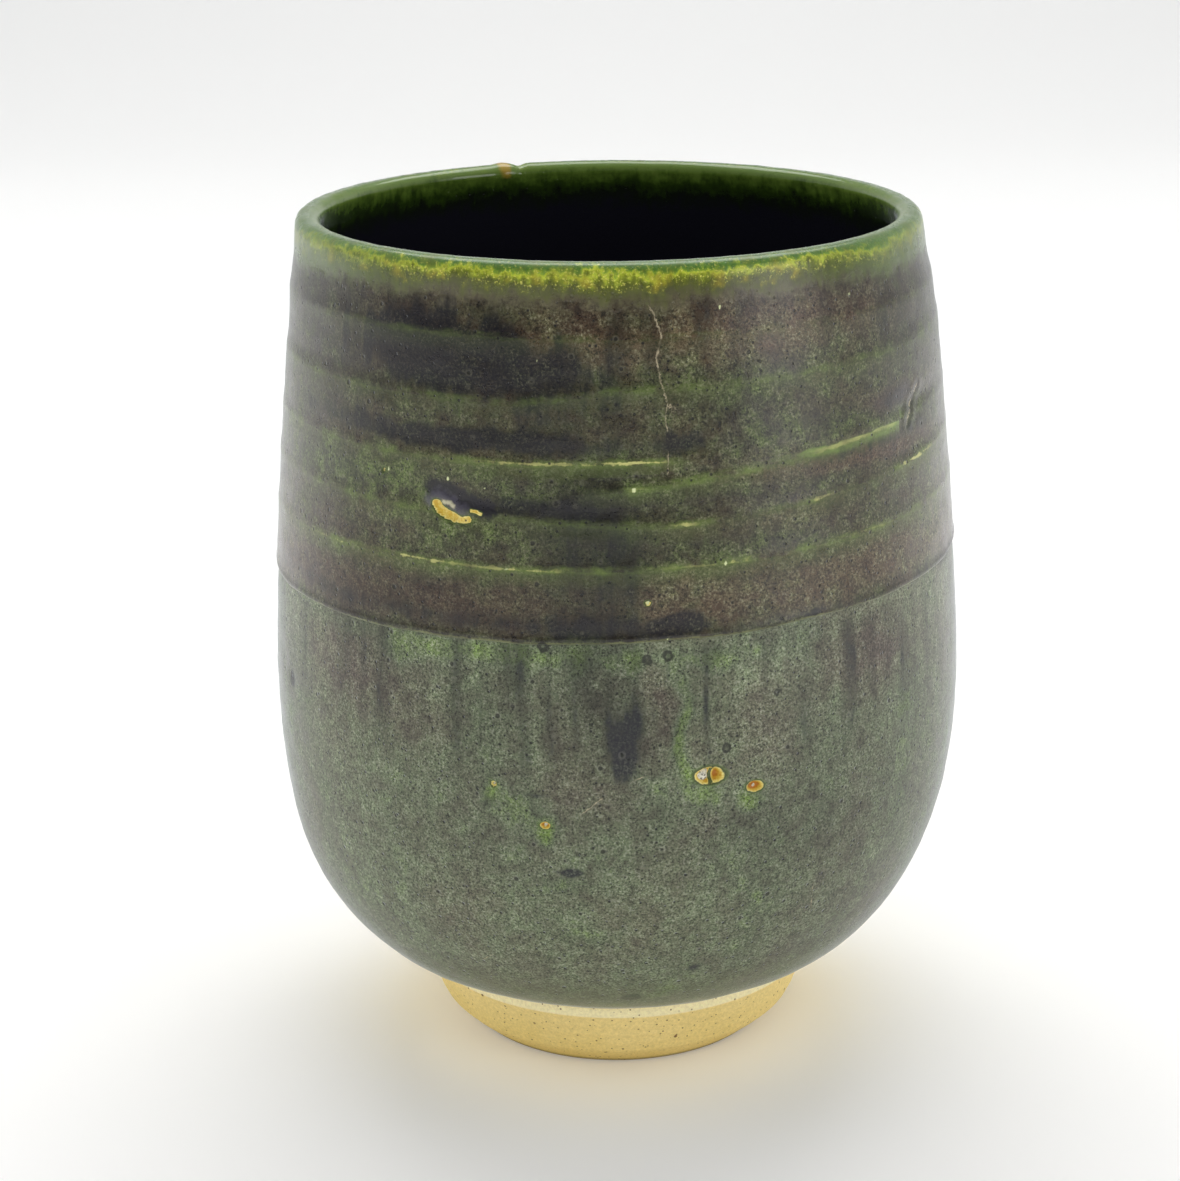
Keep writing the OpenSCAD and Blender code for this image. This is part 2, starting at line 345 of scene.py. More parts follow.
def wallRelief(around, level):
    # mm by which the fired surface stands out from the drawn outline
    t = wallTraces
    spots = roundPoints(around, level)
    lift = t["wobble"] * noiseField(spots * [1, 1, 0.7], t["wobbleSize"], 1)
    lift += t["ripple"] * noiseField(spots * [1, 1, 2.4], t["rippleSize"], 2)
    gap, _ = ridgeGap(around, level)
    above = smoothStep(cup["dipHeight"] - 2, cup["dipHeight"] + 3, level)
    lift += above * (t["ridge"] * swell(gap, t["ridgeWidth"]) - t["between"])
    lift += above * t["ledge"] * swell(gap + t["ledgeDrop"], t["ledgeWidth"])
    for angle, height, width, tall, depth in dents:
        lift -= depth * swell(pitDistance(around, level, (angle, height, width, tall)), 1)
    for mark in pits:
        d = pitDistance(around, level, mark)
        lift -= mark[4] * (1 - smoothStep(0.55, 1.0, d))
        lift += t["pitRim"] * swell(d - 1.15, 0.25)
    for angle, height, width in bubbles:
        d = pitDistance(around, level, (angle, height, width, width))
        lift += t["bubbleRim"] * swell(d - 1.0, 0.25) - t["bubble"] * swell(d, 0.6)
    torn = pathGap(around, level, scarBand["path"]) / scarBand["half"]
    lift -= t["scar"] * (1 - smoothStep(0.55, 1.1, torn))
    lift += t["swirl"] * swell(pathGap(around, level, scarSwirl["path"]), t["swirlWidth"])
    gap = pathGap(around, level, fold["path"])
    lift -= fold["depth"] * swell(gap, fold["half"])
    lift += t["foldLip"] * swell(gap - t["foldLipGap"], t["foldLipWidth"])
    return lift


def lean(level):
    # mm by which the middle of the wall wanders from the axis as it rises: left, right, and left at the lip
    heights = [10, 20, 26, 31, 40, 50, 60, 75, 85, 92, 98]
    return np.interp(level, heights, [-0.3, -0.28, -0.12, 0.12, 0.25, 0.2, 0.1, 0.0, 0.05, -0.25, -0.5])


# Mesh making

def placed(around, table, offset):
    # points at an offset along the outline's normal; table rows are radius, height, normal
    r = table[..., 0] + offset * table[..., 2]
    z = table[..., 1] + offset * table[..., 3]
    a = np.radians(around)
    return np.stack([r * np.sin(a) + lean(z), -r * np.cos(a), z], -1)


def ringMesh(name, grid, closed, fields=()):
    # grid rows run along the section and its columns round the axis; an open section closes on the axis
    rows, columns = grid.shape[:2]
    points = grid.reshape(-1, 3)
    i = np.arange(rows if closed else rows - 1)[:, None]
    j = np.arange(columns)[None, :]
    up, on = (i + 1) % rows, (j + 1) % columns
    quads = np.stack([i * columns + j, i * columns + on, up * columns + on, up * columns + j], -1)
    faces = quads.reshape(-1, 4).tolist()
    if not closed:
        first, last = len(points), len(points) + 1
        points = np.vstack([points, grid[0].mean(0), grid[-1].mean(0)])
        end = (rows - 1) * columns
        for k in range(columns):
            after = (k + 1) % columns
            faces.append((first, after, k))
            faces.append((end + k, end + after, last))
    mesh = bpy.data.meshes.new(name)
    mesh.from_pydata((points * mm).tolist(), [], faces)
    mesh.shade_smooth()
    for title, values in dict(fields).items():
        flat = np.zeros(len(points), np.float32)
        flat[:rows * columns] = np.broadcast_to(values, (rows, columns)).ravel()
        mesh.attributes.new(title, "FLOAT", "POINT").data.foreach_set("value", flat)
    piece = bpy.data.objects.new(name, mesh)
    bpy.context.scene.collection.objects.link(piece)
    return piece


def dress(piece, material, node):
    piece.data.materials.clear()
    piece.data.materials.append(material)
    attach(piece, "root")
    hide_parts(node)
    print(piece.name, "has", sum(len(p.vertices) - 2 for p in piece.data.polygons), "triangles")


# Marks in the glaze colour: (degrees, height, width, height of the mark, strength), in mm
greenMarks = [
    (-40, 74.5, 60, 5, 0.5), (-5, 69, 45, 6, 0.35), (33, 86, 42, 5, 0.3), (38, 79.2, 32, 3, 0.4),
    (-20, 57.4, 60, 2.6, 0.5), (9.4, 48, 1.8, 13, 0.95), (13.3, 42.0, 4.0, 3.4, 1.0), (21, 41.0, 2.6, 3, 0.8),
    (-11.3, 38.0, 2.6, 3.2, 1.15), (-19.4, 42.2, 2.2, 3.6, 0.75), (-14, 41, 5, 5, 0.55), (5.5, 41, 3, 9, 0.4),
    (-3, 25.5, 8, 2, 0.35), (-9, 32, 5, 2, 0.35), (-36, 55.5, 4, 2.2, 0.6), (150, 72, 60, 9, 0.5),
    (-120, 80, 50, 7, 0.5), (-5, 56.5, 2, 4, 0.5), (3, 57, 2, 3.5, 0.5), (16, 57, 3, 4, 0.3),
    (100, 50, 10, 12, 0.4),
]
brownMarks = [
    (-47, 62, 52, 5.5, 0.7), (35, 63.5, 50, 6, 0.5), (30, 91, 52, 8, 0.6), (-4, 90, 9, 7, 0.4),
    (46, 75.6, 34, 2, 0.9), (53, 81, 12, 3, 0.8), (-40, 90, 22, 8, 0.4), (22, 70.6, 22, 3, 0.4),
    (-48, 53, 14, 9, 0.6), (46, 54, 17, 9, 0.8), (-5, 42.5, 9, 5, 0.4), (-33, 50, 10, 10, 0.4),
    (25, 50, 9, 9, 0.25), (-26, 74.6, 8, 2, 0.4), (110, 62, 50, 8, 0.6), (-150, 90, 60, 8, 0.5),
    (-110, 54, 30, 9, 0.5), (170, 55, 20, 9, 0.5), (6, 52, 3, 9, 0.5), (14, 40, 2.4, 6, 0.4),
]
darkMarks = [
    (-29, 88.5, 26, 8, 1.15), (-10, 84.5, 20, 8, 0.45), (-22, 79.4, 28, 2.6, 0.8), (10.5, 79.6, 6, 3.0, 0.6),
    (-2, 68, 11, 13, 0.42), (-14, 72.8, 18, 2.2, 0.6), (9.4, 61.0, 4.6, 2.6, 1.0), (-4, 60.6, 30, 2.6, 0.5),
    (-52, 60.6, 40, 2.2, 0.4), (47, 76.8, 30, 2.0, 0.5), (-50, 79.6, 26, 3, 0.4), (0.6, 47.8, 2.2, 8, 0.75),
    (-1.6, 48.5, 1.6, 8, 0.6), (-0.6, 46, 1.0, 5, 0.45), (2.6, 50, 1.2, 7, 0.35), (-8.6, 52, 2.2, 11, 0.35),
    (54, 80.9, 9, 2.6, 0.6), (-7.2, 33.5, 3.4, 1.0, 1.0), (3.5, 15.6, 2.2, 1.2, 1.3), (14, 20.3, 2, 0.9, 0.6),
    (31, 60, 1.3, 1.1, 0.8), (-66, 47.2, 1.7, 2.2, 1.0), (-12, 42.3, 3.2, 0.6, 0.5), (16, 91, 4, 9, 0.2),
    (140, 86, 40, 7, 0.7), (-100, 70, 40, 4, 0.6), (-160, 62, 50, 3, 0.6), (90, 60.5, 60, 2.4, 0.5),
]
# Paler (+) and deeper (-) stretches of the coats; the pairs on the two flanks are painted light: a painted
# sheen low down near ±63 degrees and painted shade under the lip near ±58 degrees
paleDeepAndPaintedLightMarks = [
    (-3, 66, 11, 22, -0.6), (0, 76, 8, 12, -0.22), (-14, 73, 14, 5, -0.3), (-1, 52, 7, 15, -0.45),
    (30, 64, 56, 8, 0.6), (-32, 71, 22, 10, 0.45), (35, 77, 30, 4, 0.4), (20, 83, 10, 6, -0.25),
    # the last mark on this line and the first on the next are painted shade on the two upper flanks
    (14, 45, 16, 7, 0.3), (-22, 24, 60, 18, 0.32), (12, 30, 12, 14, 0.12), (-58, 91, 30, 16, -0.5),
    (58, 90, 26, 15, -0.45), (-48, 40, 26, 22, 0.2), (-10, 57, 30, 5, 0.2), (24, 55, 14, 6, 0.2),
    # the first two marks on this line are a painted sheen on the two lower flanks
    (62, 62, 22, 24, 0.3), (-64, 63, 20, 22, 0.35), (36, 90, 26, 8, 0.28), (120, 50, 60, 30, 0.2),
    (-130, 80, 50, 14, -0.2), (170, 66, 40, 8, -0.3), (-44, 61.5, 40, 3, -0.25), (30, 37, 30, 10, -0.2),
    (42, 88, 20, 10, 0.15), (-22, 85, 5, 4, 0.3), (-8, 92, 5, 5, 0.3), (12, 90, 14, 9, 0.3),
    (-2, 87, 24, 10, 0.25), (-40, 90, 16, 8, 0.2), (10, 80, 12, 5, 0.3), (28, 70.8, 8, 2, 0.5),
    (34, 88, 30, 12, 0.2), (-33, 77, 18, 6, 0.3), (11, 56, 8, 20, 0.22), (10, 63, 8, 8, 0.15),
]
# Single pale grains on the ridges and the coats: (degrees, height, width)
sparkMarks = [
    (-38.5, 75.2, 0.7), (-27, 75.2, 0.8), (-20.6, 74.6, 0.5), (-45, 68.0, 0.7), (-33, 66.6, 0.6),
    (-17, 66.4, 0.8), (-13.8, 66.4, 0.5), (4.8, 63.3, 0.9), (17, 67.0, 0.9), (3, 75.0, 1.0), (-58, 71, 0.7),
    (-50, 86, 0.6), (7.6, 59.4, 0.5), (-16, 59.0, 0.4), (36, 92.0, 0.7), (44, 92.4, 0.8), (-52, 59.6, 0.5),
    (-44, 59.4, 0.6), (-11.2, 38.9, 0.9), (-19.2, 43.1, 0.6), (18, 93, 0.6), (-12, 88, 0.4), (150, 76, 0.8),
    (-110, 72, 0.7), (95, 68, 0.8), (-160, 84, 0.6),
]
# How strongly the glaze breaks to green along a ridge: (degrees unrolled, strength)
ridgeGlow = [
    (-180, 0.5), (-70, 0.35), (-50, 0.95), (-42, 0.7), (-33, 1.0), (-24, 0.75), (-14, 0.95), (-6, 0.65),
    (10, 0.7), (17, 1), (24, 0.6), (45, 0.75), (70, 0.6), (180, 0.3), (290, 0.3), (330, 0.5), (345, 0.3),
    (366, 0.5), (371, 0.9), (377, 0.3), (390, 0.3), (394, 1), (400, 0.4), (411, 0.3), (414, 1), (420, 0.9),
    (430, 0.6), (540, 0.4), (650, 0.45), (690, 0.5), (700, 0.8), (712, 1), (727, 1), (731, 0.05), (790, 0.05),
    (900, 0.4), (1010, 0.35), (1050, 0.45), (1065, 0.3), (1080, 0.4), (1130, 0.4), (1260, 0.3), (1370, 0.2),
    (1400, 0.35), (1440, 0.25), (1510, 0.2), (1620, 0.1),
]
# The same along the side ridge, which also widens as it nears the fold
sideGlow = [(-6, 0.0), (1, 0.4), (3, 0.9), (6, 0.5), (30, 0.65), (40, 0.95), (48, 1.1), (53, 0.9),
            (56.5, 0.0), (60, 0.0)]
sideWidth = [(-6, 0.1), (20, 0.3), (40, 0.6), (57, 1.0)]


def markSum(around, level, marks):
    spots = roundPoints(around, level)
    total = np.zeros(around.shape)
    sway = 1.6 * noiseField(spots, 6, 11)
    rise = 0.7 * noiseField(spots * [1, 1, 0.5], 4, 12)
    for angle, height, width, tall, strength in marks:
        share = min(1.0, tall / 4)
        u = np.radians(turned(around - angle)) * radiusAt(level) + share * sway
        v = level - height + share * rise
        total += strength * np.exp(-((u / (width / 2)) ** 2 + (v / (tall / 2)) ** 2) ** 1.4)
    return total


def glazeFields(around, level, edgeRise=9.0):
    # the numbers that the glaze materials read at each point of a coat; gaps are in mm
    gap, where = ridgeGap(around, level)
    onSide = where > sideLap - 100
    glow = np.interp(where, *np.array(ridgeGlow).T)
    glow[onSide] = np.interp(where[onSide] - sideLap, *np.array(sideGlow).T)
    wide = np.where(onSide, np.interp(where - sideLap, *np.array(sideWidth).T), 0.0)
    thin = np.full(around.shape, -1.0)
    for mark in pits:
        most = np.interp(mark[2], [0.7, 1.9], [0.56, 1.5])     # small pits show no deep clay
        thin = np.maximum(thin, np.minimum(1.5 - pitDistance(around, level, mark), most))
    for line in (scarBand, scarTail, scarChip):
        thin = np.maximum(thin, np.minimum(1.5 - pathGap(around, level, line["path"]) / line["half"], 0.66))
    # the cleft beside the largest stone is kept dark here: painted shade in the gap
    thin = np.minimum(thin, 0.2 + 1.7 * pathGap(around, level, cleft))
    spark, ring = np.zeros(around.shape), np.full(around.shape, 3.0)
    for angle, height, width in sparkMarks:
        spark = np.maximum(spark, 1.2 - pitDistance(around, level, (angle, height, width * 0.6, width * 0.8)))
    for angle, height, width in bubbles:
        ring = np.minimum(ring, pitDistance(around, level, (angle, height, width, width)))
    across, beyond = fineLineFields(around, level)
    runs = smoothStep(41, 52, level) * (1 - smoothStep(58, 59.5, level))
    runs = runs * (0.4 + 0.6 * np.cos(np.radians(around) / 2) ** 8)
    runs += 0.65 * smoothStep(83, 90, level)
    return {
        "ridgeGap": np.minimum(np.abs(gap), markReach),
        "ridgeUnder": np.where(gap < 0, np.minimum(-gap, markReach), markReach), "ridgeGlow": glow,
        "ridgeWide": wide, "thin": thin, "spark": spark, "ring": ring,
        "tone": markSum(around, level, greenMarks) - markSum(around, level, brownMarks),
        "dark": markSum(around, level, darkMarks),
        "shade": markSum(around, level, paleDeepAndPaintedLightMarks), "across": across, "beyond": beyond, "runs": runs,
        "foldGap": np.minimum(pathGap(around, level, fold["path"]), markReach),
        "edgeRise": np.broadcast_to(edgeRise, around.shape),
        "pool": np.clip(1 - pathGap(around, level, scarPool["path"]) / scarPool["half"], -1, 1),
        "swirl": np.clip(1 - pathGap(around, level, scarSwirl["path"]) / scarSwirl["half"], -1, 1),
        "curl": np.clip(1 - pathGap(around, level, scarCurl["path"]) / scarCurl["half"], -1, 1),
    }


# Glaze and clay finishes

stoneware = {     # bare fired stoneware, thrown, turned and sponged: dry, buff, peppered with iron
    # the last colour on the next line is a painted contact shadow for the standing edge
    "pale": "#fbe39c", "warm": "#efd480", "belt": "#fff4c4", "speck": "#6a4426", "worn": "#86733c",
    "speckSizes": ((0.7, 0.12, 0.75, 0.8), (2.0, 0.25, 0.45, 0.9)), "grain": 0.35, "roughness": 0.86,
    "bump": 0.05,
}
firstLook = {     # ash and iron glaze, cooled slowly to a fine crystal satin: a soft grey-green skin
    "stops": [(0.28, "#5f5348"), (0.42, "#64654f"), (0.58, "#647053"), (0.8, "#6a8438")],
    "blue": "#1b1c24", "frost": "#adae9c", "gaps": "#22241c", "roughness": 0.42, "bump": 0.05,
    "grain": 0.26, "mottle": 9.0, "flat": 0.5, "patches": 0.4, "offset": 0.02, "sheen": 0.66,
    "frosting": 0.72, "level": 0.92, "lively": 0.28,
}
secondLook = {    # the same glaze over itself: thicker, darker and glossier, breaking green on every ridge
    "stops": [(0.28, "#4a382a"), (0.42, "#49402d"), (0.58, "#43472b"), (0.8, "#4f602c")],
    "blue": "#100f16", "frost": "#85836c", "gaps": "#15150f", "roughness": 0.32, "bump": 0.05,
    "grain": 0.28, "mottle": 8.0, "flat": 2.4, "patches": 0.6, "offset": -0.07, "sheen": 0.34,
    "frosting": 0.7, "level": 0.93, "lively": 0.5,
}
rimLook = {       # glaze run thin over the lip: glassy green on top, lime and ochre where it breaks
    "stops": [(0.1, "#605a46"), (0.38, "#52562c"), (0.57, "#585f1e"), (0.71, "#788423"), (0.82, "#b2bd3a"),
              (0.89, "#76922f"), (0.97, "#4c7028")],
    "ochre": "#9c8722", "lime": "#d6d266", "side": "#4c6a2a", "chip": "#b8973a", "roughness": 0.28,
    "glass": 0.14,
}
liningLook = {    # thick iron glaze inside: a black mirror, green where it thins towards the lip
    "stops": [(0.0, "#1a1a22"), (0.35, "#171d13"), (0.62, "#2d4114"), (0.84, "#556f28"), (1.0, "#6a8436")],
    "roughness": 0.12, "bump": 0.08,
}
grainLook = {     # feldspar grains that burst from the clay: cream with grey clefts
    "stops": [(0.36, "#5a5648"), (0.46, "#d6d3c0"), (0.7, "#fbf8ee")], "roughness": 0.5, "bump": 0.06,
}
burstLook = {"rim": "#ece08c", "amber": "#d4b340", "deep": "#b0700e", "outline": "#1c150c", "halo": "#5f7a30"}
breakLook = {     # where the glaze breaks over an edge, and its cracks and pinholes
    "soft": "#6b7f38", "streak": "#8dae4c", "bright": "#c9c67c", "spark": "#dbe2ab", "crack": "#bfb294",
    # the edge colour is the pale line along the second coat's lower edge, a painted highlight
    "edge": "#8d9262", "pinhole": "#101210",
}
# The first coat thins to olive towards the foot and to straw in its last millimetre: (from and to in mm above
# its edge, how much of the colour, colour)
footFade = ((8.0, 0.8, 0.55, "#5e6a32"), (2.6, 0.4, 0.75, "#7a7c34"), (0.9, -0.1, 0.9, "#c9b25c"))
scarLook = {"pool": "#14121d", "swirl": "#5f5c69", "curl": "#cbc6a4"}

# Noises that several finishes share: size in mm, upright stretch, detail and roughness
sharedClouds = {
    "blotch": (2.4, 1, 4.0, 0.62), "fine": (0.9, 1, 3.0, 0.6), "streak": (1.4, 0.16, 3.0, 0.55),
    "thread": (0.55, 0.2, 2.0, 0.5), "dust": (0.24, 1, 1.0, 0.6),
}
# What the glaze materials read from the mesh
fieldNames = ("tone", "dark", "shade", "runs", "thin", "spark", "ring", "ridgeGap", "ridgeUnder", "ridgeGlow",
              "ridgeWide", "across", "beyond", "foldGap", "pool", "swirl", "curl", "edgeRise")


def glazePlaces(tree, shared, own):
    # the surface in mm, its height, and noises: the shared ones named and the finish's own
    place = addNode(tree, "ShaderNodeTexCoord").outputs["Object"]
    inMm = addNode(tree, "ShaderNodeVectorMath", {0: place, 3: 1 / mm}, operation="SCALE")
    made = {"inMm": inMm, "height": addNode(tree, "ShaderNodeSeparateXYZ", [inMm]).outputs[2]}
    clouds = {name: sharedClouds[name] for name in shared}
    clouds.update(own)
    for name, (size, upright, detail, rough) in clouds.items():
        spot = addNode(tree, "ShaderNodeVectorMath", [inMm, (1, 1, upright)], operation="MULTIPLY")
        made[name] = addNode(tree, "ShaderNodeTexNoise", {
            "Vector": spot, "Scale": 1 / size, "Detail": detail, "Roughness": rough})
    return made


def mottledGlaze(tree, look, shared):
    # brown to green mottling, crystals, blue-black patches and green ridges; returns its sockets
    made = glazePlaces(tree, shared, {
        "broad": (look["mottle"], look["flat"], 5.0, 0.62), "grain": (look["grain"], 1, 2.0, 0.75),
        "band": (5.0, 5, 3.0, 0.6), "column": (2.6, 0.05, 2.0, 0.5)})
    read = {}
    for name in fieldNames:
        read[name] = addNode(tree, "ShaderNodeAttribute", attribute_name=name).outputs["Fac"]
    blotch, fine, grain = made["blotch"], made["fine"], made["grain"]

    tone = look["offset"]
    shares = ((made["broad"], 0.42), (blotch, look["patches"]), (fine, 0.16), (read["tone"], 0.27))
    for cloud, share in shares:
        tone = addNode(tree, "ShaderNodeMath", [cloud, share, tone], operation="MULTIPLY_ADD")
    colour = addNode(tree, "ShaderNodeValToRGB", [tone], look["stops"])

    # crystals a quarter of a millimetre across, pale on dark gaps, thicker in some places
    lively = addNode(tree, "ShaderNodeMapRange", [blotch, 0.3, 0.7, 0.3, 1.0])
    frost = addNode(tree, "ShaderNodeMapRange", [grain, 0.5, 0.7, 0.0, look["frosting"]],
                    interpolation_type="SMOOTHSTEP")
    frost = addNode(tree, "ShaderNodeMath", [frost, lively], operation="MULTIPLY")
    gaps = addNode(tree, "ShaderNodeMapRange", [grain, 0.5, 0.31, 0.0, 0.92], interpolation_type="SMOOTHSTEP")
    dust = addNode(tree, "ShaderNodeMapRange", [made["dust"], 0.37, 0.29, 0.0, 0.9])
    for amount, over in ((gaps, look["gaps"]), (frost, look["frost"]), (dust, look["gaps"])):
        colour = addNode(tree, "ShaderNodeMix", {0: amount, 6: colour, 7: over}, data_type="RGBA")

    # paler and deeper stretches, some of them painted sheen and painted shade on the flanks, and upright runs
    # of thicker glaze
    low, high = look["level"] - look["lively"], look["level"] + look["lively"]
    light = addNode(tree, "ShaderNodeMapRange", [blotch, 0.25, 0.75, low, high])
    light = addNode(tree, "ShaderNodeMath", [read["shade"], 0.8, light], operation="MULTIPLY_ADD")
    spotted = addNode(tree, "ShaderNodeMapRange", [fine, 0.3, 0.7, 1 - look["lively"], 1 + look["lively"]])
    column = addNode(tree, "ShaderNodeMapRange", [made["column"], 0.38, 0.62, 0.18, -0.42])
    column = addNode(tree, "ShaderNodeMath", [column, read["runs"], 1.0], operation="MULTIPLY_ADD")
    for share in (spotted, column):
        light = addNode(tree, "ShaderNodeMath", [light, share], operation="MULTIPLY")
    gray = addNode(tree, "ShaderNodeCombineXYZ", [light, light, light])
    colour = addNode(tree, "ShaderNodeMix", {0: 1.0, 6: colour, 7: gray}, data_type="RGBA",
                     blend_type="MULTIPLY")

    # blue-black patches with grainy, streaky edges
    dark = read["dark"]
    for cloud, share in ((made["streak"], 1.1), (blotch, 0.8), (fine, 0.9), (grain, 0.7)):
        dark = addNode(tree, "ShaderNodeMath", [cloud, share, dark], operation="MULTIPLY_ADD")
    column = addNode(tree, "ShaderNodeMapRange", [made["column"], 0.3, 0.7, -0.48, 0.48])
    dark = addNode(tree, "ShaderNodeMath", [column, read["runs"], dark], operation="MULTIPLY_ADD")
    dark = addNode(tree, "ShaderNodeMapRange", [dark, 1.93, 2.41, 0.0, 0.97], interpolation_type="SMOOTHSTEP")
    through = addNode(tree, "ShaderNodeMapRange", [grain, 0.4, 0.66, 1.0, 0.7])
    dark = addNode(tree, "ShaderNodeMath", [dark, through], operation="MULTIPLY")
    colour = addNode(tree, "ShaderNodeMix", {0: dark, 6: colour, 7: look["blue"]}, data_type="RGBA")

    # thin glaze on each ridge: a soft green band, a faint one below it, and a broken bright line on top
    jitter = addNode(tree, "ShaderNodeMath", [fine, 0.8, -0.4], operation="MULTIPLY_ADD")
    gap = addNode(tree, "ShaderNodeMath", [read["ridgeGap"], jitter])
    width = addNode(tree, "ShaderNodeMath", [read["ridgeWide"], 0.6, 0.38], operation="MULTIPLY_ADD")
    ratio = addNode(tree, "ShaderNodeMath", [gap, width], operation="DIVIDE")
    broken = addNode(tree, "ShaderNodeMapRange", [made["band"], 0.35, 0.6, 0.4, 1.1],
                     interpolation_type="SMOOTHSTEP")
    patchy = addNode(tree, "ShaderNodeMapRange", [blotch, 0.36, 0.6, 0.1, 1.15])
    patchy = addNode(tree, "ShaderNodeMath", [patchy, read["ridgeWide"]], operation="MAXIMUM")
    bright = addNode(tree, "ShaderNodeMapRange", [read["ridgeGlow"], 0.62, 1.05],
                     interpolation_type="SMOOTHSTEP")
    narrow = addNode(tree, "ShaderNodeMapRange", [read["ridgeWide"], 0.0, 1.0, 1.0, 0.35])
    strengths = []
    bands = (([1.6, 0.2, 0.0, 0.72], (read["ridgeGlow"], patchy)), ([0.5, 0.1, 0.0, 1.0], (bright, narrow)))
    for ends, shares in bands:
        amount = addNode(tree, "ShaderNodeMapRange", [ratio] + ends, interpolation_type="SMOOTHSTEP")
        for share in shares:
            amount = addNode(tree, "ShaderNodeMath", [amount, share], operation="MULTIPLY")
        strengths.append(addNode(tree, "ShaderNodeMath", [amount, broken], operation="MULTIPLY",
                                 use_clamp=True))
    soft, line = strengths
    softGreen = addNode(tree, "ShaderNodeMix", {
        0: read["ridgeWide"], 6: breakLook["soft"], 7: breakLook["streak"]}, data_type="RGBA")
    under = addNode(tree, "ShaderNodeMath", [fine, 1.6, read["ridgeUnder"]], operation="MULTIPLY_ADD")
    under = addNode(tree, "ShaderNodeMapRange", [under, 3.2, 1.0, 0.0, 0.28], interpolation_type="SMOOTHSTEP")
    under = addNode(tree, "ShaderNodeMath", [under, read["ridgeGlow"]], operation="MULTIPLY")
    top = cup["dipHeight"] + 1.5
    aboveDip = addNode(tree, "ShaderNodeMapRange", [made["height"], top, top + 1.0])
    for amount, over in ((under, breakLook["soft"]), (soft, softGreen), (line, breakLook["bright"])):
        amount = addNode(tree, "ShaderNodeMath", [amount, aboveDip], operation="MULTIPLY")
        colour = addNode(tree, "ShaderNodeMix", {0: amount, 6: colour, 7: over}, data_type="RGBA")

    # the second coat's edge: a fine pale line, which is a painted highlight, and a darker band just above it
    rise = addNode(tree, "ShaderNodeMath", [fine, -0.5, read["edgeRise"]], operation="MULTIPLY_ADD")
    darkAboveEdge = addNode(tree, "ShaderNodeMapRange", [rise, 1.3, 0.1, 0.0, 0.3],
                       interpolation_type="SMOOTHSTEP")
    colour = addNode(tree, "ShaderNodeMix", {0: darkAboveEdge, 6: colour, 7: look["blue"]}, data_type="RGBA")
    edge = addNode(tree, "ShaderNodeMapRange", [rise, 0.12, -0.1, 0.0, 0.5], interpolation_type="SMOOTHSTEP")
    edge = addNode(tree, "ShaderNodeMath", [edge, broken], operation="MULTIPLY", use_clamp=True)
    colour = addNode(tree, "ShaderNodeMix", {0: edge, 6: colour, 7: breakLook["edge"]}, data_type="RGBA")

    # the scar's dark pool, lilac swirl and cream curl
    grainy = addNode(tree, "ShaderNodeMath", [fine, 1.8, -0.9], operation="MULTIPLY_ADD")
    steps = (("pool", -0.35, 0.45, 0.9), ("swirl", -0.3, 0.9, 0.6), ("curl", -0.1, 0.7, 0.85))
    for name, low, high, most in steps:
        place = addNode(tree, "ShaderNodeMath", [read[name], grainy])
        mask = addNode(tree, "ShaderNodeMapRange", [place, low, high, 0.0, most],
                       interpolation_type="SMOOTHSTEP")
        colour = addNode(tree, "ShaderNodeMix", {0: mask, 6: colour, 7: scarLook[name]}, data_type="RGBA")

    # clay shows where the glaze has burst: green halo, dark outline, pale rim, then amber
    thin = addNode(tree, "ShaderNodeMath", [fine, 0.44, -0.22], operation="MULTIPLY_ADD")
    thin = addNode(tree, "ShaderNodeMath", [thin, read["thin"]])
    halo = addNode(tree, "ShaderNodeMapRange", [thin, 0.0, 0.45, 0.0, 0.7], interpolation_type="SMOOTHSTEP")
    outline = addNode(tree, "ShaderNodeMapRange", [thin, 0.2, 0.42, 0.0, 0.6],
                      interpolation_type="SMOOTHSTEP")
    bare = addNode(tree, "ShaderNodeMapRange", [thin, 0.46, 0.54], interpolation_type="SMOOTHSTEP")
    amber = addNode(tree, "ShaderNodeMapRange", [made["dust"], 0.3, 0.7, -0.07, 0.07])
    amber = addNode(tree, "ShaderNodeMath", [amber, thin])
    amber = addNode(tree, "ShaderNodeValToRGB", [amber], [
        (0.5, burstLook["rim"]), (0.68, burstLook["amber"]), (0.9, burstLook["deep"])])
    for amount, over in ((halo, burstLook["halo"]), (outline, burstLook["outline"]), (bare, amber)):
        colour = addNode(tree, "ShaderNodeMix", {0: amount, 6: colour, 7: over}, data_type="RGBA")

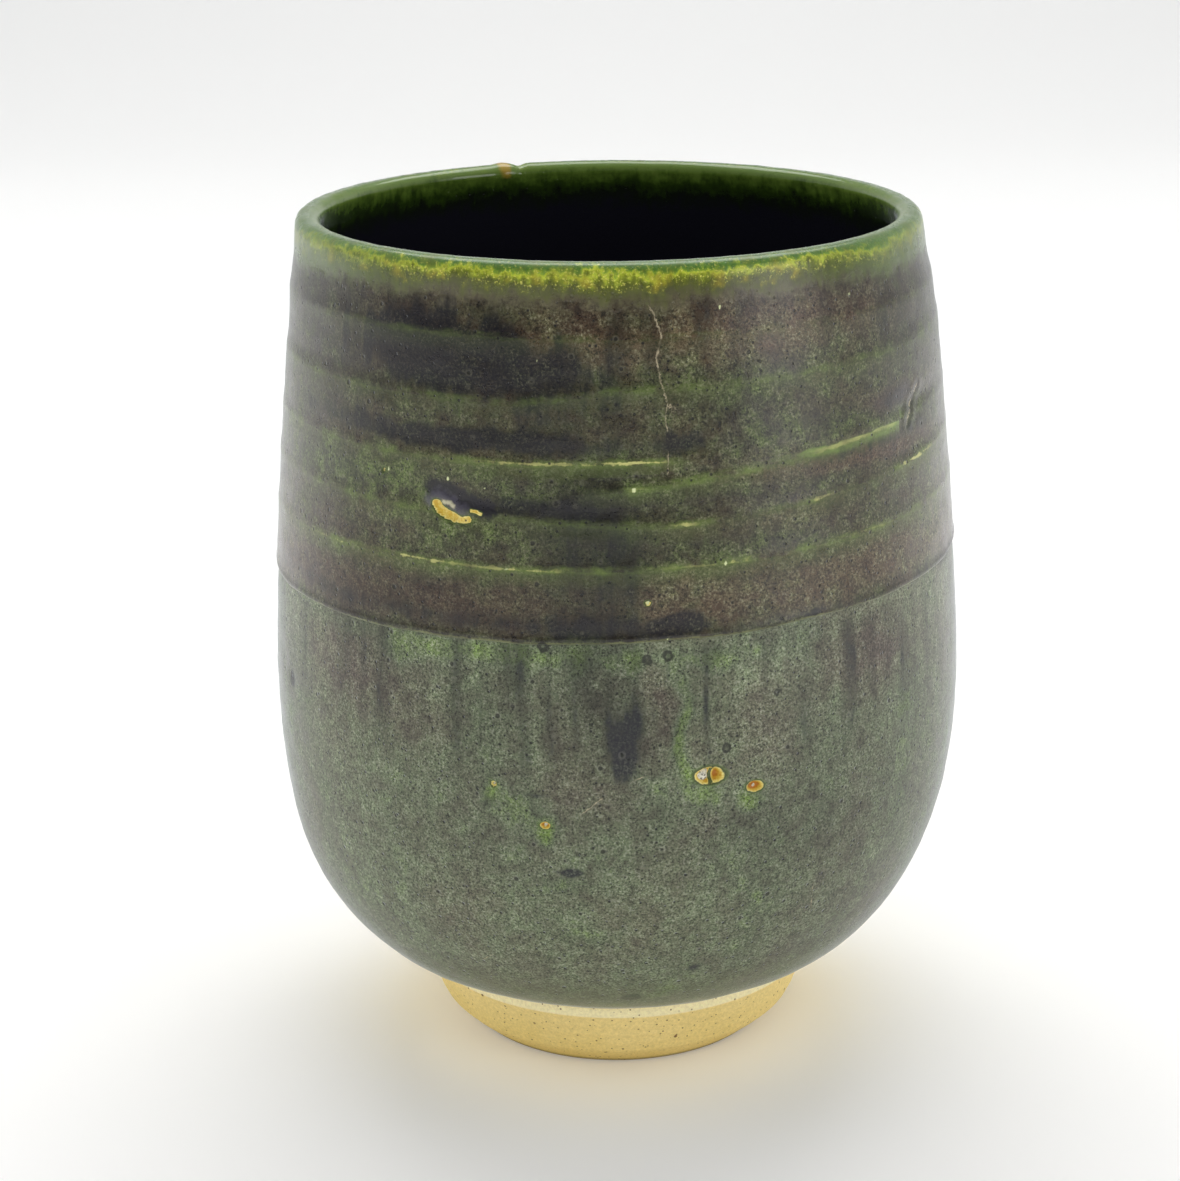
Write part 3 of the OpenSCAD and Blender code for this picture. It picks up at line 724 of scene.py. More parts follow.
    # dark rings of burst bubbles, the shade of the fold, fine lines, and single pale grains
    ring = addNode(tree, "ShaderNodeMath", [fine, 0.9, read["ring"]], operation="MULTIPLY_ADD")
    ringOut = addNode(tree, "ShaderNodeMapRange", [ring, 1.55, 1.25, 0.0, 0.85],
                      interpolation_type="SMOOTHSTEP")
    ringIn = addNode(tree, "ShaderNodeMapRange", [ring, 0.6, 1.1, 0.3, 1.0], interpolation_type="SMOOTHSTEP")
    ring = addNode(tree, "ShaderNodeMath", [ringOut, ringIn], operation="MULTIPLY")
    torn = addNode(tree, "ShaderNodeMath", [made["dust"], 5.0, -2.5], operation="MULTIPLY_ADD")
    torn = addNode(tree, "ShaderNodeMath", [read["across"], torn])
    torn = addNode(tree, "ShaderNodeMath", [torn], operation="ABSOLUTE")
    torn = addNode(tree, "ShaderNodeMapRange", [torn, 1.4, 0.6, 0.0, 0.7], interpolation_type="SMOOTHSTEP")
    ends = addNode(tree, "ShaderNodeMapRange", [read["beyond"], 0.3, 0.0])
    patchy = addNode(tree, "ShaderNodeMapRange", [fine, 0.42, 0.56, 0.12, 1.0])
    for share in (ends, patchy):
        torn = addNode(tree, "ShaderNodeMath", [torn, share], operation="MULTIPLY")
    shadow = addNode(tree, "ShaderNodeMapRange", [read["foldGap"], 1.0, 0.2, 0.0, 0.16],
                     interpolation_type="SMOOTHSTEP")
    spark = addNode(tree, "ShaderNodeMapRange", [read["spark"], 0.35, 0.7, 0.0, 0.95],
                    interpolation_type="SMOOTHSTEP")
    for amount, over in ((ring, look["gaps"]), (shadow, look["blue"]), (torn, breakLook["crack"]),
                         (spark, breakLook["spark"])):
        colour = addNode(tree, "ShaderNodeMix", {0: amount, 6: colour, 7: over}, data_type="RGBA")
    made["colour"] = colour
    return made


def pinholes(tree, made, spacing, radius, share, discs=((1.0, 0.6),)):
    # one cell in a few holds a small round hole; returns a mask for each disc, given by the outer and inner
    # end of its soft edge in radii
    cells = addNode(tree, "ShaderNodeTexVoronoi", {"Vector": made["inMm"], "Scale": 1 / spacing})
    pick = addNode(tree, "ShaderNodeSeparateColor", [cells.outputs["Color"]])
    size = addNode(tree, "ShaderNodeMath", [pick.outputs[1], 0.6, 0.7], operation="MULTIPLY_ADD")
    reach = addNode(tree, "ShaderNodeMath", [cells.outputs["Distance"], size], operation="DIVIDE")
    chosen = addNode(tree, "ShaderNodeMath", [pick.outputs[0], share], operation="LESS_THAN")
    found = []
    for outer, inner in discs:
        ends = [outer * radius / spacing, inner * radius / spacing]
        disc = addNode(tree, "ShaderNodeMapRange", [reach] + ends, interpolation_type="SMOOTHSTEP")
        found.append(addNode(tree, "ShaderNodeMath", [disc, chosen], operation="MULTIPLY"))
    return found


def lipFade(tree, base, made):
    # olive, lime with ochre flecks, then glassy green, in ragged streaks; returns the colour and its mask
    rise = made["height"]
    for cloud, share in (("thread", 1.4), ("fine", 1.5), ("blotch", 2.4), ("broad", 2.6)):
        rise = addNode(tree, "ShaderNodeMath", [made[cloud], share, rise], operation="MULTIPLY_ADD")
    top = cup["lipTop"] + 3.95       # the noises add 3.95 on average
    band = addNode(tree, "ShaderNodeMapRange", [rise, top - 4.0, top + 0.2])
    colour = addNode(tree, "ShaderNodeValToRGB", [band], rimLook["stops"])
    middle = addNode(tree, "ShaderNodeMapRange", [band, 0.4, 0.62])
    upper = addNode(tree, "ShaderNodeMapRange", [band, 1.1, 0.82])
    middle = addNode(tree, "ShaderNodeMath", [middle, upper], operation="MULTIPLY")
    flecks = (("blotch", 0.52, 0.5, rimLook["ochre"]), ("dust", 0.58, 0.75, rimLook["lime"]))
    for cloud, low, most, over in flecks:
        fleck = addNode(tree, "ShaderNodeMapRange", [made[cloud], low, low + 0.12, 0.0, most])
        fleck = addNode(tree, "ShaderNodeMath", [fleck, middle], operation="MULTIPLY")
        colour = addNode(tree, "ShaderNodeMix", {0: fleck, 6: colour, 7: over}, data_type="RGBA")
    spotted = addNode(tree, "ShaderNodeMapRange", [made["fine"], 0.3, 0.7, 0.78, 1.22])
    gray = addNode(tree, "ShaderNodeCombineXYZ", [spotted, spotted, spotted])
    colour = addNode(tree, "ShaderNodeMix", {0: 1.0, 6: colour, 7: gray}, data_type="RGBA",
                     blend_type="MULTIPLY")
    # the yellow is weaker at the two sides, where the glaze lies thicker
    side = addNode(tree, "ShaderNodeSeparateXYZ", [made["inMm"]]).outputs[0]
    side = addNode(tree, "ShaderNodeMath", [side], operation="ABSOLUTE")
    side = addNode(tree, "ShaderNodeMapRange", [side, 18.0, 34.0, 0.0, 0.6])
    colour = addNode(tree, "ShaderNodeMix", {0: side, 6: colour, 7: rimLook["side"]}, data_type="RGBA")
    mask = addNode(tree, "ShaderNodeMapRange", [rise, top - 4.5, top - 2.6], interpolation_type="SMOOTHSTEP")
    return addNode(tree, "ShaderNodeMix", {0: mask, 6: base, 7: colour}, data_type="RGBA"), mask


def insideColour(tree, made):
    # the same green to black fade on the lip's coat and on the lining
    ragged = made["height"]
    for cloud, share in (("thread", 1.2), ("blotch", 3.6), ("fine", 1.6)):
        ragged = addNode(tree, "ShaderNodeMath", [made[cloud], share, ragged], operation="MULTIPLY_ADD")
    top = cup["lipTop"] + 3.2        # the noises add 3.2 on average
    depth = addNode(tree, "ShaderNodeMapRange", [ragged, top - 5.4, top - 0.2])
    return addNode(tree, "ShaderNodeValToRGB", [depth], liningLook["stops"])


def finishGlaze(tree, colour, relief, depth, roughness, roughMap=None, sheen=0.0):
    # depth is the bump's, in mm
    bump = addNode(tree, "ShaderNodeBump", {"Strength": 1.0, "Distance": depth * mm, "Height": relief})
    shader = addNode(tree, "ShaderNodeBsdfPrincipled", {
        "Base Color": colour, "Roughness": roughness if roughMap is None else roughMap, "IOR": 1.5,
        "Sheen Weight": sheen, "Sheen Roughness": 0.22, "Sheen Tint": "#f1f5ff", "Normal": bump})
    addNode(tree, "ShaderNodeOutputMaterial", [shader])


def coatMaterial(name, look, reach):
    # reach 0 ends at the foot in olive, 1 runs up into the lip's streaks, and 2 goes over the lip and inside
    material, tree = newMaterial(name)
    made = mottledGlaze(tree, look, ("blotch", "fine", "streak", "dust") + (("thread",) if reach else ()))
    colour = made["colour"]
    hole, = pinholes(tree, made, 0.9, 0.15, 0.85)
    bubble, bubbleRim = pinholes(tree, made, 2.2, 0.25, 0.5, ((1.0, 0.6), (1.8, 1.2)))
    layers = ((bubbleRim, 0.12, look["frost"]), (bubble, 0.85, look["gaps"]),
              (hole, 0.85, breakLook["pinhole"]))
    for amount, most, over in layers:
        amount = addNode(tree, "ShaderNodeMath", [amount, most], operation="MULTIPLY")
        colour = addNode(tree, "ShaderNodeMix", {0: amount, 6: colour, 7: over}, data_type="RGBA")
    relief = addNode(tree, "ShaderNodeMath", [made["fine"], 0.5], operation="MULTIPLY")
    relief = addNode(tree, "ShaderNodeMath", [made["grain"], 0.6, relief], operation="MULTIPLY_ADD")
    for amount, share in ((hole, -1.6), (bubble, -1.6)):
        relief = addNode(tree, "ShaderNodeMath", [amount, share, relief], operation="MULTIPLY_ADD")
    rough = addNode(tree, "ShaderNodeMapRange", [
        made["blotch"], 0.3, 0.7, look["roughness"] - 0.06, look["roughness"] + 0.06])
    if reach:
        colour, smooth = lipFade(tree, colour, made)
        rough = addNode(tree, "ShaderNodeMath", [smooth, rimLook["roughness"] - look["roughness"], rough],
                        operation="MULTIPLY_ADD", use_clamp=True)
        calm = addNode(tree, "ShaderNodeMapRange", [smooth, 1.0, 0.0, 0.25, 1.0])
        relief = addNode(tree, "ShaderNodeMath", [relief, calm], operation="MULTIPLY")
    else:
        sway = addNode(tree, "ShaderNodeMath", [made["blotch"], -1.6, made["height"]],
                       operation="MULTIPLY_ADD")
        line = cup["glazeLine"] - 0.8        # the noise takes 0.8 off on average
        for low, high, most, over in footFade:
            mask = addNode(tree, "ShaderNodeMapRange", [sway, line + low, line + high, 0.0, most])
            colour = addNode(tree, "ShaderNodeMix", {0: mask, 6: colour, 7: over}, data_type="RGBA")
    if reach == 2:
        within = addNode(tree, "ShaderNodeAttribute", attribute_name="within").outputs["Fac"]
        within = addNode(tree, "ShaderNodeMath", [made["fine"], -1.2, within], operation="MULTIPLY_ADD")
        within = addNode(tree, "ShaderNodeMapRange", [within, -1.1, 0.3], interpolation_type="SMOOTHSTEP")
        colour = addNode(tree, "ShaderNodeMix", {0: within, 6: colour, 7: insideColour(tree, made)},
                         data_type="RGBA")
        chip = addNode(tree, "ShaderNodeAttribute", attribute_name="chip").outputs["Fac"]
        chip = addNode(tree, "ShaderNodeMath", [made["fine"], 0.5, chip], operation="MULTIPLY_ADD")
        chip = addNode(tree, "ShaderNodeMapRange", [chip, 0.6, 1.1, 0.0, 0.85],
                       interpolation_type="SMOOTHSTEP")
        colour = addNode(tree, "ShaderNodeMix", {0: chip, 6: colour, 7: rimLook["chip"]}, data_type="RGBA")
        rough = addNode(tree, "ShaderNodeMix", {0: within, 2: rough, 3: rimLook["glass"]}, data_type="FLOAT")
    finishGlaze(tree, colour, relief, look["bump"], look["roughness"], rough, look["sheen"])
    return material


def liningMaterial():
    material, tree = newMaterial("black lining glaze")
    made = glazePlaces(tree, ("blotch", "fine", "thread"), {"ripple": (5.0, 1, 2.0, 0.5)})
    finishGlaze(tree, insideColour(tree, made), made["ripple"], liningLook["bump"], liningLook["roughness"])
    return material


def clayMaterial():
    material, tree = newMaterial("bare buff stoneware")
    made = glazePlaces(tree, (), {
        "turning": (4.0, 6, 3.0, 0.5), "cloud": (7.0, 1, 4.0, 0.5),
        "grain": (stoneware["grain"], 1, 3.0, 0.7)})
    # the foot is painted darker and warmer towards its standing face, as painted contact shade
    down = addNode(tree, "ShaderNodeMapRange", [made["height"], 0.0, cup["jointHeight"], -0.2, 0.4])
    shade = addNode(tree, "ShaderNodeMath", [made["cloud"], 0.7, down], operation="MULTIPLY_ADD")
    colour = addNode(tree, "ShaderNodeValToRGB", [shade],
                     [(0.1, stoneware["warm"]), (0.8, stoneware["pale"])])
    # the band above the turned bevel is paler
    belt = cup["jointHeight"] - 1.2
    mask = addNode(tree, "ShaderNodeMapRange", [made["height"], belt - 0.1, belt + 0.06])
    colour = addNode(tree, "ShaderNodeMix", {0: mask, 6: colour, 7: stoneware["belt"]}, data_type="RGBA")
    # the edge that stands on tables is painted darker: a painted contact shadow
    worn = addNode(tree, "ShaderNodeMapRange", [made["height"], 0.75, 0.15, 0.0, 0.8])
    colour = addNode(tree, "ShaderNodeMix", {0: worn, 6: colour, 7: stoneware["worn"]}, data_type="RGBA")
    fine = addNode(tree, "ShaderNodeMapRange", [made["grain"], 0.3, 0.7, 0.84, 1.08])
    gray = addNode(tree, "ShaderNodeCombineXYZ", [fine, fine, fine])
    colour = addNode(tree, "ShaderNodeMix", {0: 1.0, 6: colour, 7: gray}, data_type="RGBA",
                     blend_type="MULTIPLY")
    # iron specks, most of them fine and a few large
    for spacing, radius, share, strength in stoneware["speckSizes"]:
        speck = pinholes(tree, made, spacing, radius, share)[0]
        speck = addNode(tree, "ShaderNodeMath", [speck, strength], operation="MULTIPLY")
        colour = addNode(tree, "ShaderNodeMix", {0: speck, 6: colour, 7: stoneware["speck"]},
                         data_type="RGBA")
    relief = addNode(tree, "ShaderNodeMath", [made["turning"], 1.2, made["grain"]], operation="MULTIPLY_ADD")
    finishGlaze(tree, colour, relief, stoneware["bump"], stoneware["roughness"])
    return material


def grainMaterial():
    material, tree = newMaterial("feldspar grain")
    made = glazePlaces(tree, (), {"crystal": (0.3, 1, 4.0, 0.6)})
    colour = addNode(tree, "ShaderNodeValToRGB", [made["crystal"]], grainLook["stops"])
    finishGlaze(tree, colour, made["crystal"], grainLook["bump"], grainLook["roughness"])
    return material


firstMaterial = coatMaterial("satin ash glaze, first coat", firstLook, 0)
secondMaterial = coatMaterial("satin ash glaze, second dip", secondLook, 1)
rimGlaze = coatMaterial("runny rim glaze", secondLook, 2)
blackGlaze, clay, grainStone = liningMaterial(), clayMaterial(), grainMaterial()
print("materials made")


# The coats, the lining and the clay

markWindows = [(-40.6, -38.4, 0.3), (-32, -18, 0.25), (-13, -9.4, 0.3), (-7, 11, 0.35), (11, 23.5, 0.25),
               (53, 63, 0.3)]
lowHeights = [(36.8, 46, 0.22), (61.8, 64.6, 0.3)]
highHeights = [(69.6, 82, 0.24), (61.8, 64.6, 0.3)]


def columnsFor(coarse):
    return gradedStops(-180, 180, coarse, markWindows)[:-1]


def edgeRound(distance, width):
    return np.sqrt(1 - (1 - np.clip(distance / width, 0, 1)) ** 2)


def edgeWave(angles, seed, size, amount):
    # mm by which a coat's edge wanders up and down, from noise round a circle of the belly's size
    a, circle = np.radians(angles), 40
    return amount * noiseField(np.stack([circle * np.sin(a), -circle * np.cos(a), 0 * a], -1), size, seed)


def sweptRows(rows, angles):
    # the rows of a section (radius, height, normal) at each angle, with the angles and heights as grids
    around = np.broadcast_to(angles, (len(rows), len(angles)))
    table = np.broadcast_to(rows[:, None, :], around.shape + (4,))
    return around, table, table[..., 1]


def coatMesh(name, faces, fields):
    # one ring mesh from a coat's outer face and its inner one: angles, heights, mm off the outline
    grid = np.vstack([placed(around, onOutside(level), lift) for around, level, lift in faces])
    return ringMesh(name, grid, True, {key: np.vstack([part[key] for part in fields]) for key in fields[0]})


def makeFirstCoat():
    form = {"edgeWave": 0.3, "edgeThin": 0.4, "thinRun": 1.8, "edgeRound": 0.3, "uneven": 0.03,
            "sunk": 0.05, "hidden": 0.3}
    angles = columnsFor(1.4)
    low, high, top = cup["glazeLine"], cup["dipHeight"] + 3.5, cup["coatTop"]
    up = np.concatenate([gradedStops(low, high, 0.5, [(low, low + 1.5, 0.15)] + lowHeights),
                         gradedStops(high, top, 3)[1:]])
    down = gradedStops(low, top, 3.0, lowHeights)[::-1]
    around, levelUp = np.meshgrid(angles, up)
    aroundBack, levelBack = np.meshgrid(angles, down)
    wave = edgeWave(angles, 21, 9, form["edgeWave"])
    levelUp = levelUp + wave * (1 - smoothStep(low, low + 4, levelUp))
    levelBack = levelBack + wave * (1 - smoothStep(low, low + 4, levelBack))
    rise = levelUp - low - wave
    skin = cup["coat"] * (form["edgeThin"] + (1 - form["edgeThin"]) * smoothStep(0, form["thinRun"], rise))
    skin = skin + form["uneven"] * noiseField(roundPoints(around, levelUp), 3, 5)
    lift = wallRelief(around, levelUp) - form["sunk"]
    lift += (skin + form["sunk"]) * edgeRound(rise, form["edgeRound"])
    back = wallRelief(aroundBack, levelBack) - 2 * form["sunk"]
    # it lies lower where the second coat hides it, clear of that coat's hollows
    lift -= form["hidden"] * smoothStep(high - 2, high, levelUp)
    back -= form["hidden"] * smoothStep(high - 2, high, levelBack)
    fields = [glazeFields(around, levelUp), glazeFields(aroundBack, levelBack)]
    coat = coatMesh("firstCoat", [(around, levelUp, lift), (aroundBack, levelBack, back)], fields)
    dress(coat, firstMaterial, "base_glaze")


def makeSecondCoat():
    form = {"edgeWave": 0.18, "thick": 0.2, "edgeRound": 0.35, "bead": 0.08, "beadRise": 0.5,
            "uneven": 0.02, "fadeOut": 0.9, "topSunk": 0.12, "sunk": 0.04}
    angles = columnsFor(1.2)
    low, top = cup["dipHeight"], cup["coatTop"] + 0.4
    up = gradedStops(low, top, 0.42, [(low, low + 0.8, 0.12)] + highHeights)
    down = gradedStops(low, top, 2.5, highHeights)[::-1]
    edge = cup["dipRise"] * np.sin(np.radians(angles)) + edgeWave(angles, 31, 12, form["edgeWave"])
    around, levelUp = np.meshgrid(angles, up)
    aroundBack, levelBack = np.meshgrid(angles, down)
    levelUp = levelUp + edge * (1 - smoothStep(low, low + 6, levelUp))
    levelBack = levelBack + edge * (1 - smoothStep(low, low + 6, levelBack))
    rise = levelUp - low - edge
    skin = form["thick"] * (1 - form["fadeOut"] * smoothStep(top - 5, top - 1, levelUp))
    skin = skin + form["uneven"] * noiseField(roundPoints(around, levelUp), 3, 6)
    skin -= form["topSunk"] * smoothStep(top - 0.8, top, levelUp)
    lift = wallRelief(around, levelUp) + cup["coat"] - form["sunk"]
    lift += (skin + form["sunk"]) * edgeRound(rise, form["edgeRound"])
    lift += form["bead"] * np.exp(-((rise - form["beadRise"]) / 0.35) ** 2)
    back = wallRelief(aroundBack, levelBack) + cup["coat"] - 2 * form["sunk"]
    fields = [glazeFields(around, levelUp, np.clip(rise, 0, 6)), glazeFields(aroundBack, levelBack)]
    coat = coatMesh("secondCoat", [(around, levelUp, lift), (aroundBack, levelBack, back)], fields)
    dress(coat, secondMaterial, "upper_glaze")


def makeRimCoat():
    # its two ends dive under the coats beside it, so no edge shows
    form = {"thick": 0.45, "outThin": 0.02, "outGain": 0.09, "inThin": 0.26, "inGain": 0.19, "run": 0.04,
            "overlap": 1.6, "under": 0.08, "nickAt": -159.6, "bump": 0.22, "bumpAt": 1.5, "notch": 0.32,
            "notchAt": -0.8}
    angles = gradedStops(-180, 180, 0.6)[:-1]
    low, lining = cup["coatTop"], liningBox[1].z / mm
    outer = onOutside(gradedStops(low - form["overlap"], cup["lipStart"], 0.16))
    inner = inside[(inside[:, 1] > lining - form["overlap"]) & (inside[:, 0] > 20)]
    section = np.vstack([outer, overLip, inner[1:]])
    around, table, level = sweptRows(section, angles)
    spots = placed(around, table, 0)
    isInner = np.arange(len(section))[:, None] >= len(outer) + len(overLip)
    isOuter = np.arange(len(section))[:, None] < len(outer)
    calm = 1 - smoothStep(cup["lipStart"] - 3, cup["lipStart"], level)
    relief = np.where(isOuter, wallRelief(around, level) * calm, 0)
    run = form["run"] * noiseField(spots * [1, 1, 0.4], 3, 41)
    nick = turned(around - form["nickAt"]) * math.radians(1) * cup["lipRadius"]
    onTop = smoothStep(cup["lipStart"] - 1.5, cup["lipTop"], level)
    chip = np.exp(-((nick - form["bumpAt"]) / 1.1) ** 2)
    peak = onTop * (form["bump"] * chip - form["notch"] * np.exp(-((nick - form["notchAt"]) / 0.75) ** 2))
    thick = np.full(around.shape, form["thick"])
    above = form["outGain"] * smoothStep(low - 0.8, low + 3.5, level)
    thick = np.where(isOuter, cup["coat"] + form["outThin"] + above, thick)
    above = form["inGain"] * smoothStep(lining - form["overlap"], lining - 0.3, level)
    thick = np.where(isInner, form["inThin"] + above, thick)
    feather = smoothStep(0.0, 0.5, np.where(isInner, level - lining, level - low) + form["overlap"])
    lift = relief + (run + peak) * feather + thick
    grid = np.vstack([placed(around, table, lift), placed(around, table, relief - form["under"])[::-1]])
    path = np.concatenate([[0], np.cumsum(np.hypot(*np.diff(section[:, :2], axis=0).T))])
    middle = path[len(outer) + len(overLip) // 2]
    fields = glazeFields(around, level)
    fields.update(within=np.broadcast_to((path - middle)[:, None], around.shape), chip=chip * onTop)
    both = {k: np.vstack([v, v[::-1]]) for k, v in fields.items()}
    dress(ringMesh("rimCoat", grid, True, both), rimGlaze, "rim_glaze")


def makeLining():
    form = {"thick": 0.35, "sunk": 0.05, "ringDepth": 0.1, "ringPitch": 6.2, "ringsFrom": (20, 40),
            "ringsTo": (82, 90)}
    angles = gradedStops(-180, 180, 2)[:-1]
    rows = inside[inside[:, 1] <= liningBox[1].z / mm]
    around, table, level = sweptRows(rows, angles)
    laps = level / form["ringPitch"] + around / 360
    ring = form["ringDepth"] * np.cos(2 * math.pi * laps) * smoothStep(*form["ringsFrom"], level)
    ring = ring * (1 - smoothStep(*form["ringsTo"], level))
    grid = np.vstack([placed(around, table, -form["sunk"])[::-1],
                      placed(around, table, form["thick"] + ring)])
    dress(ringMesh("lining", grid, False), blackGlaze, "inner_glaze")


def makeClay():
    # the clay lies sunk under the coats, to stay clear of them, and its relief ends below the lip
    form = {"sunk": 0.14, "reliefTo": (94, 96)}
    angles = columnsFor(2)
    up = gradedStops(cup["jointHeight"], cup["lipStart"], 0.8, lowHeights + highHeights)
    section = np.vstack([onOutside(up), overLip[::2], inside[::3]])
    climb = cup["jointHeight"] - cup["baseHeight"]
    radii = np.linspace(1, cup["jointRadius"] - 0.3, 16)
    under = np.array([[r, cup["baseHeight"] + climb * r / cup["jointRadius"], 0, -1] for r in radii])
    section = np.vstack([under, section])
    around, table, level = sweptRows(section, angles)
    outerRows = (np.arange(len(section)) >= len(under)) & (np.arange(len(section)) < len(under) + len(up))
    covered = smoothStep(cup["glazeLine"] + 0.4, cup["glazeLine"] + 2, level)
    relief = wallRelief(around, level) * (1 - smoothStep(*form["reliefTo"], level))
    lift = np.where(outerRows[:, None], relief - form["sunk"] * covered, 0)
    lift = lift * smoothStep(cup["jointHeight"], cup["jointHeight"] + 2, level)
    dress(ringMesh("clayBody", placed(around, table, lift), False), clay, "clay_body")


makeFirstCoat()
makeSecondCoat()
makeRimCoat()
makeLining()
makeClay()


# Geometry Nodes: the turned foot ring, and the stones in the pits

def newTree(name, inputs):
    tree = bpy.data.node_groups.new(name, "GeometryNodeTree")
    tree.interface.new_socket("Geometry", in_out="INPUT", socket_type="NodeSocketGeometry")
    for title, kind, value in inputs:
        socket = tree.interface.new_socket(title, in_out="INPUT", socket_type=kind)
        if value is not None:
            socket.default_value = value
    tree.interface.new_socket("Geometry", in_out="OUTPUT", socket_type="NodeSocketGeometry")
    return tree, addNode(tree, "NodeGroupInput")


def bakeNodes(carrier, tree, values, name):
    # runs the tree on the carrier's mesh and keeps the result as a plain mesh
    modifier = carrier.modifiers.new("shape", "NODES")
    modifier.node_group = tree
    sockets = {s.name: s.identifier for s in tree.interface.items_tree if s.in_out == "INPUT"}
    for title, value in values.items():
        modifier[sockets[title]] = value
    graph = bpy.context.evaluated_depsgraph_get()
    mesh = bpy.data.meshes.new_from_object(carrier.evaluated_get(graph))
    carrier.modifiers.remove(modifier)
    mesh.name = name
    piece = bpy.data.objects.new(name, mesh)
    bpy.context.scene.collection.objects.link(piece)
    bpy.data.objects.remove(carrier)
    return piece


def carrierOf(name, points, edges=()):
    mesh = bpy.data.meshes.new(name)
    mesh.from_pydata([tuple(p) for p in points], list(edges), [])
    carrier = bpy.data.objects.new(name, mesh)
    bpy.context.scene.collection.objects.link(carrier)
    return carrier


def footTree():
    # sweeps the section round the axis, then roughens it with turning lines and hand unevenness
    tree, given = newTree("turnedFoot", [
        ("Columns", "NodeSocketInt", 240), ("Rows", "NodeSocketInt", 120),
        ("Uneven", "NodeSocketFloat", 0.1 * mm), ("Turning lines", "NodeSocketFloat", 0.04 * mm),
        ("Line spacing", "NodeSocketFloat", 1.1 * mm), ("Material", "NodeSocketMaterial", None)])
    take = given.outputs
    section = addNode(tree, "GeometryNodeMeshToCurve", [take["Geometry"]])
    around = addNode(tree, "ShaderNodeMath", [take["Columns"], 1.0])
    along = addNode(tree, "ShaderNodeMath", [take["Rows"], 1.0])
    grid = addNode(tree, "GeometryNodeMeshGrid", {
        "Size X": 1.0, "Size Y": 1.0, "Vertices X": around, "Vertices Y": along})
    spot = addNode(tree, "ShaderNodeSeparateXYZ", [addNode(tree, "GeometryNodeInputPosition")])
    turn = addNode(tree, "ShaderNodeMath", [spot.outputs[0], 2 * math.pi], operation="MULTIPLY")
    factor = addNode(tree, "ShaderNodeMath", [spot.outputs[1], 0.5], use_clamp=True)
    sample = addNode(tree, "GeometryNodeSampleCurve", {"Curves": section, "Factor": factor}, mode="FACTOR",
                     use_all_curves=True)
    flat = addNode(tree, "ShaderNodeSeparateXYZ", [sample.outputs["Position"]])
    sine = addNode(tree, "ShaderNodeMath", [turn], operation="SINE")
    cosine = addNode(tree, "ShaderNodeMath", [turn], operation="COSINE")
    x = addNode(tree, "ShaderNodeMath", [flat.outputs[0], cosine], operation="MULTIPLY")
    y = addNode(tree, "ShaderNodeMath", [flat.outputs[0], sine], operation="MULTIPLY")
    point = addNode(tree, "ShaderNodeCombineXYZ", [x, y, flat.outputs[2]])
    swept = addNode(tree, "GeometryNodeSetPosition", {"Geometry": grid.outputs["Mesh"], "Position": point})
    whole = addNode(tree, "GeometryNodeMergeByDistance", {"Geometry": swept, "Distance": 0.002 * mm})
    place = addNode(tree, "GeometryNodeInputPosition")
    up = addNode(tree, "ShaderNodeSeparateXYZ", [place]).outputs[2]
    rough = addNode(tree, "ShaderNodeTexNoise", {"Vector": place, "Scale": 160.0, "Detail": 3.0})
    centred = addNode(tree, "ShaderNodeMath", [rough, -0.5])
    hand = addNode(tree, "ShaderNodeMath", [centred, take["Uneven"]], operation="MULTIPLY")
    waves = addNode(tree, "ShaderNodeMath", [up, take["Line spacing"]], operation="DIVIDE")
    waves = addNode(tree, "ShaderNodeMath", [waves, 2 * math.pi], operation="MULTIPLY")
    waves = addNode(tree, "ShaderNodeMath", [waves], operation="SINE")
    lines = addNode(tree, "ShaderNodeMath", [waves, take["Turning lines"]], operation="MULTIPLY")
    both = addNode(tree, "ShaderNodeMath", [hand, lines])
    clear = addNode(tree, "ShaderNodeMapRange", [up, 0.1 * mm, 1.2 * mm])     # the standing face stays flat
    amount = addNode(tree, "ShaderNodeMath", [both, clear], operation="MULTIPLY")
    normal = addNode(tree, "GeometryNodeInputNormal")
    push = addNode(tree, "ShaderNodeVectorMath", {0: normal, 3: amount}, operation="SCALE")
    moved = addNode(tree, "GeometryNodeSetPosition", {"Geometry": whole, "Offset": push})
    smooth = addNode(tree, "GeometryNodeSetShadeSmooth", {"Geometry": moved, "Shade Smooth": True})
    real = addNode(tree, "GeometryNodeRealizeInstances", [smooth])
    painted = addNode(tree, "GeometryNodeSetMaterial", {0: real, "Material": take["Material"]})
    addNode(tree, "NodeGroupOutput", [painted])
    return tree


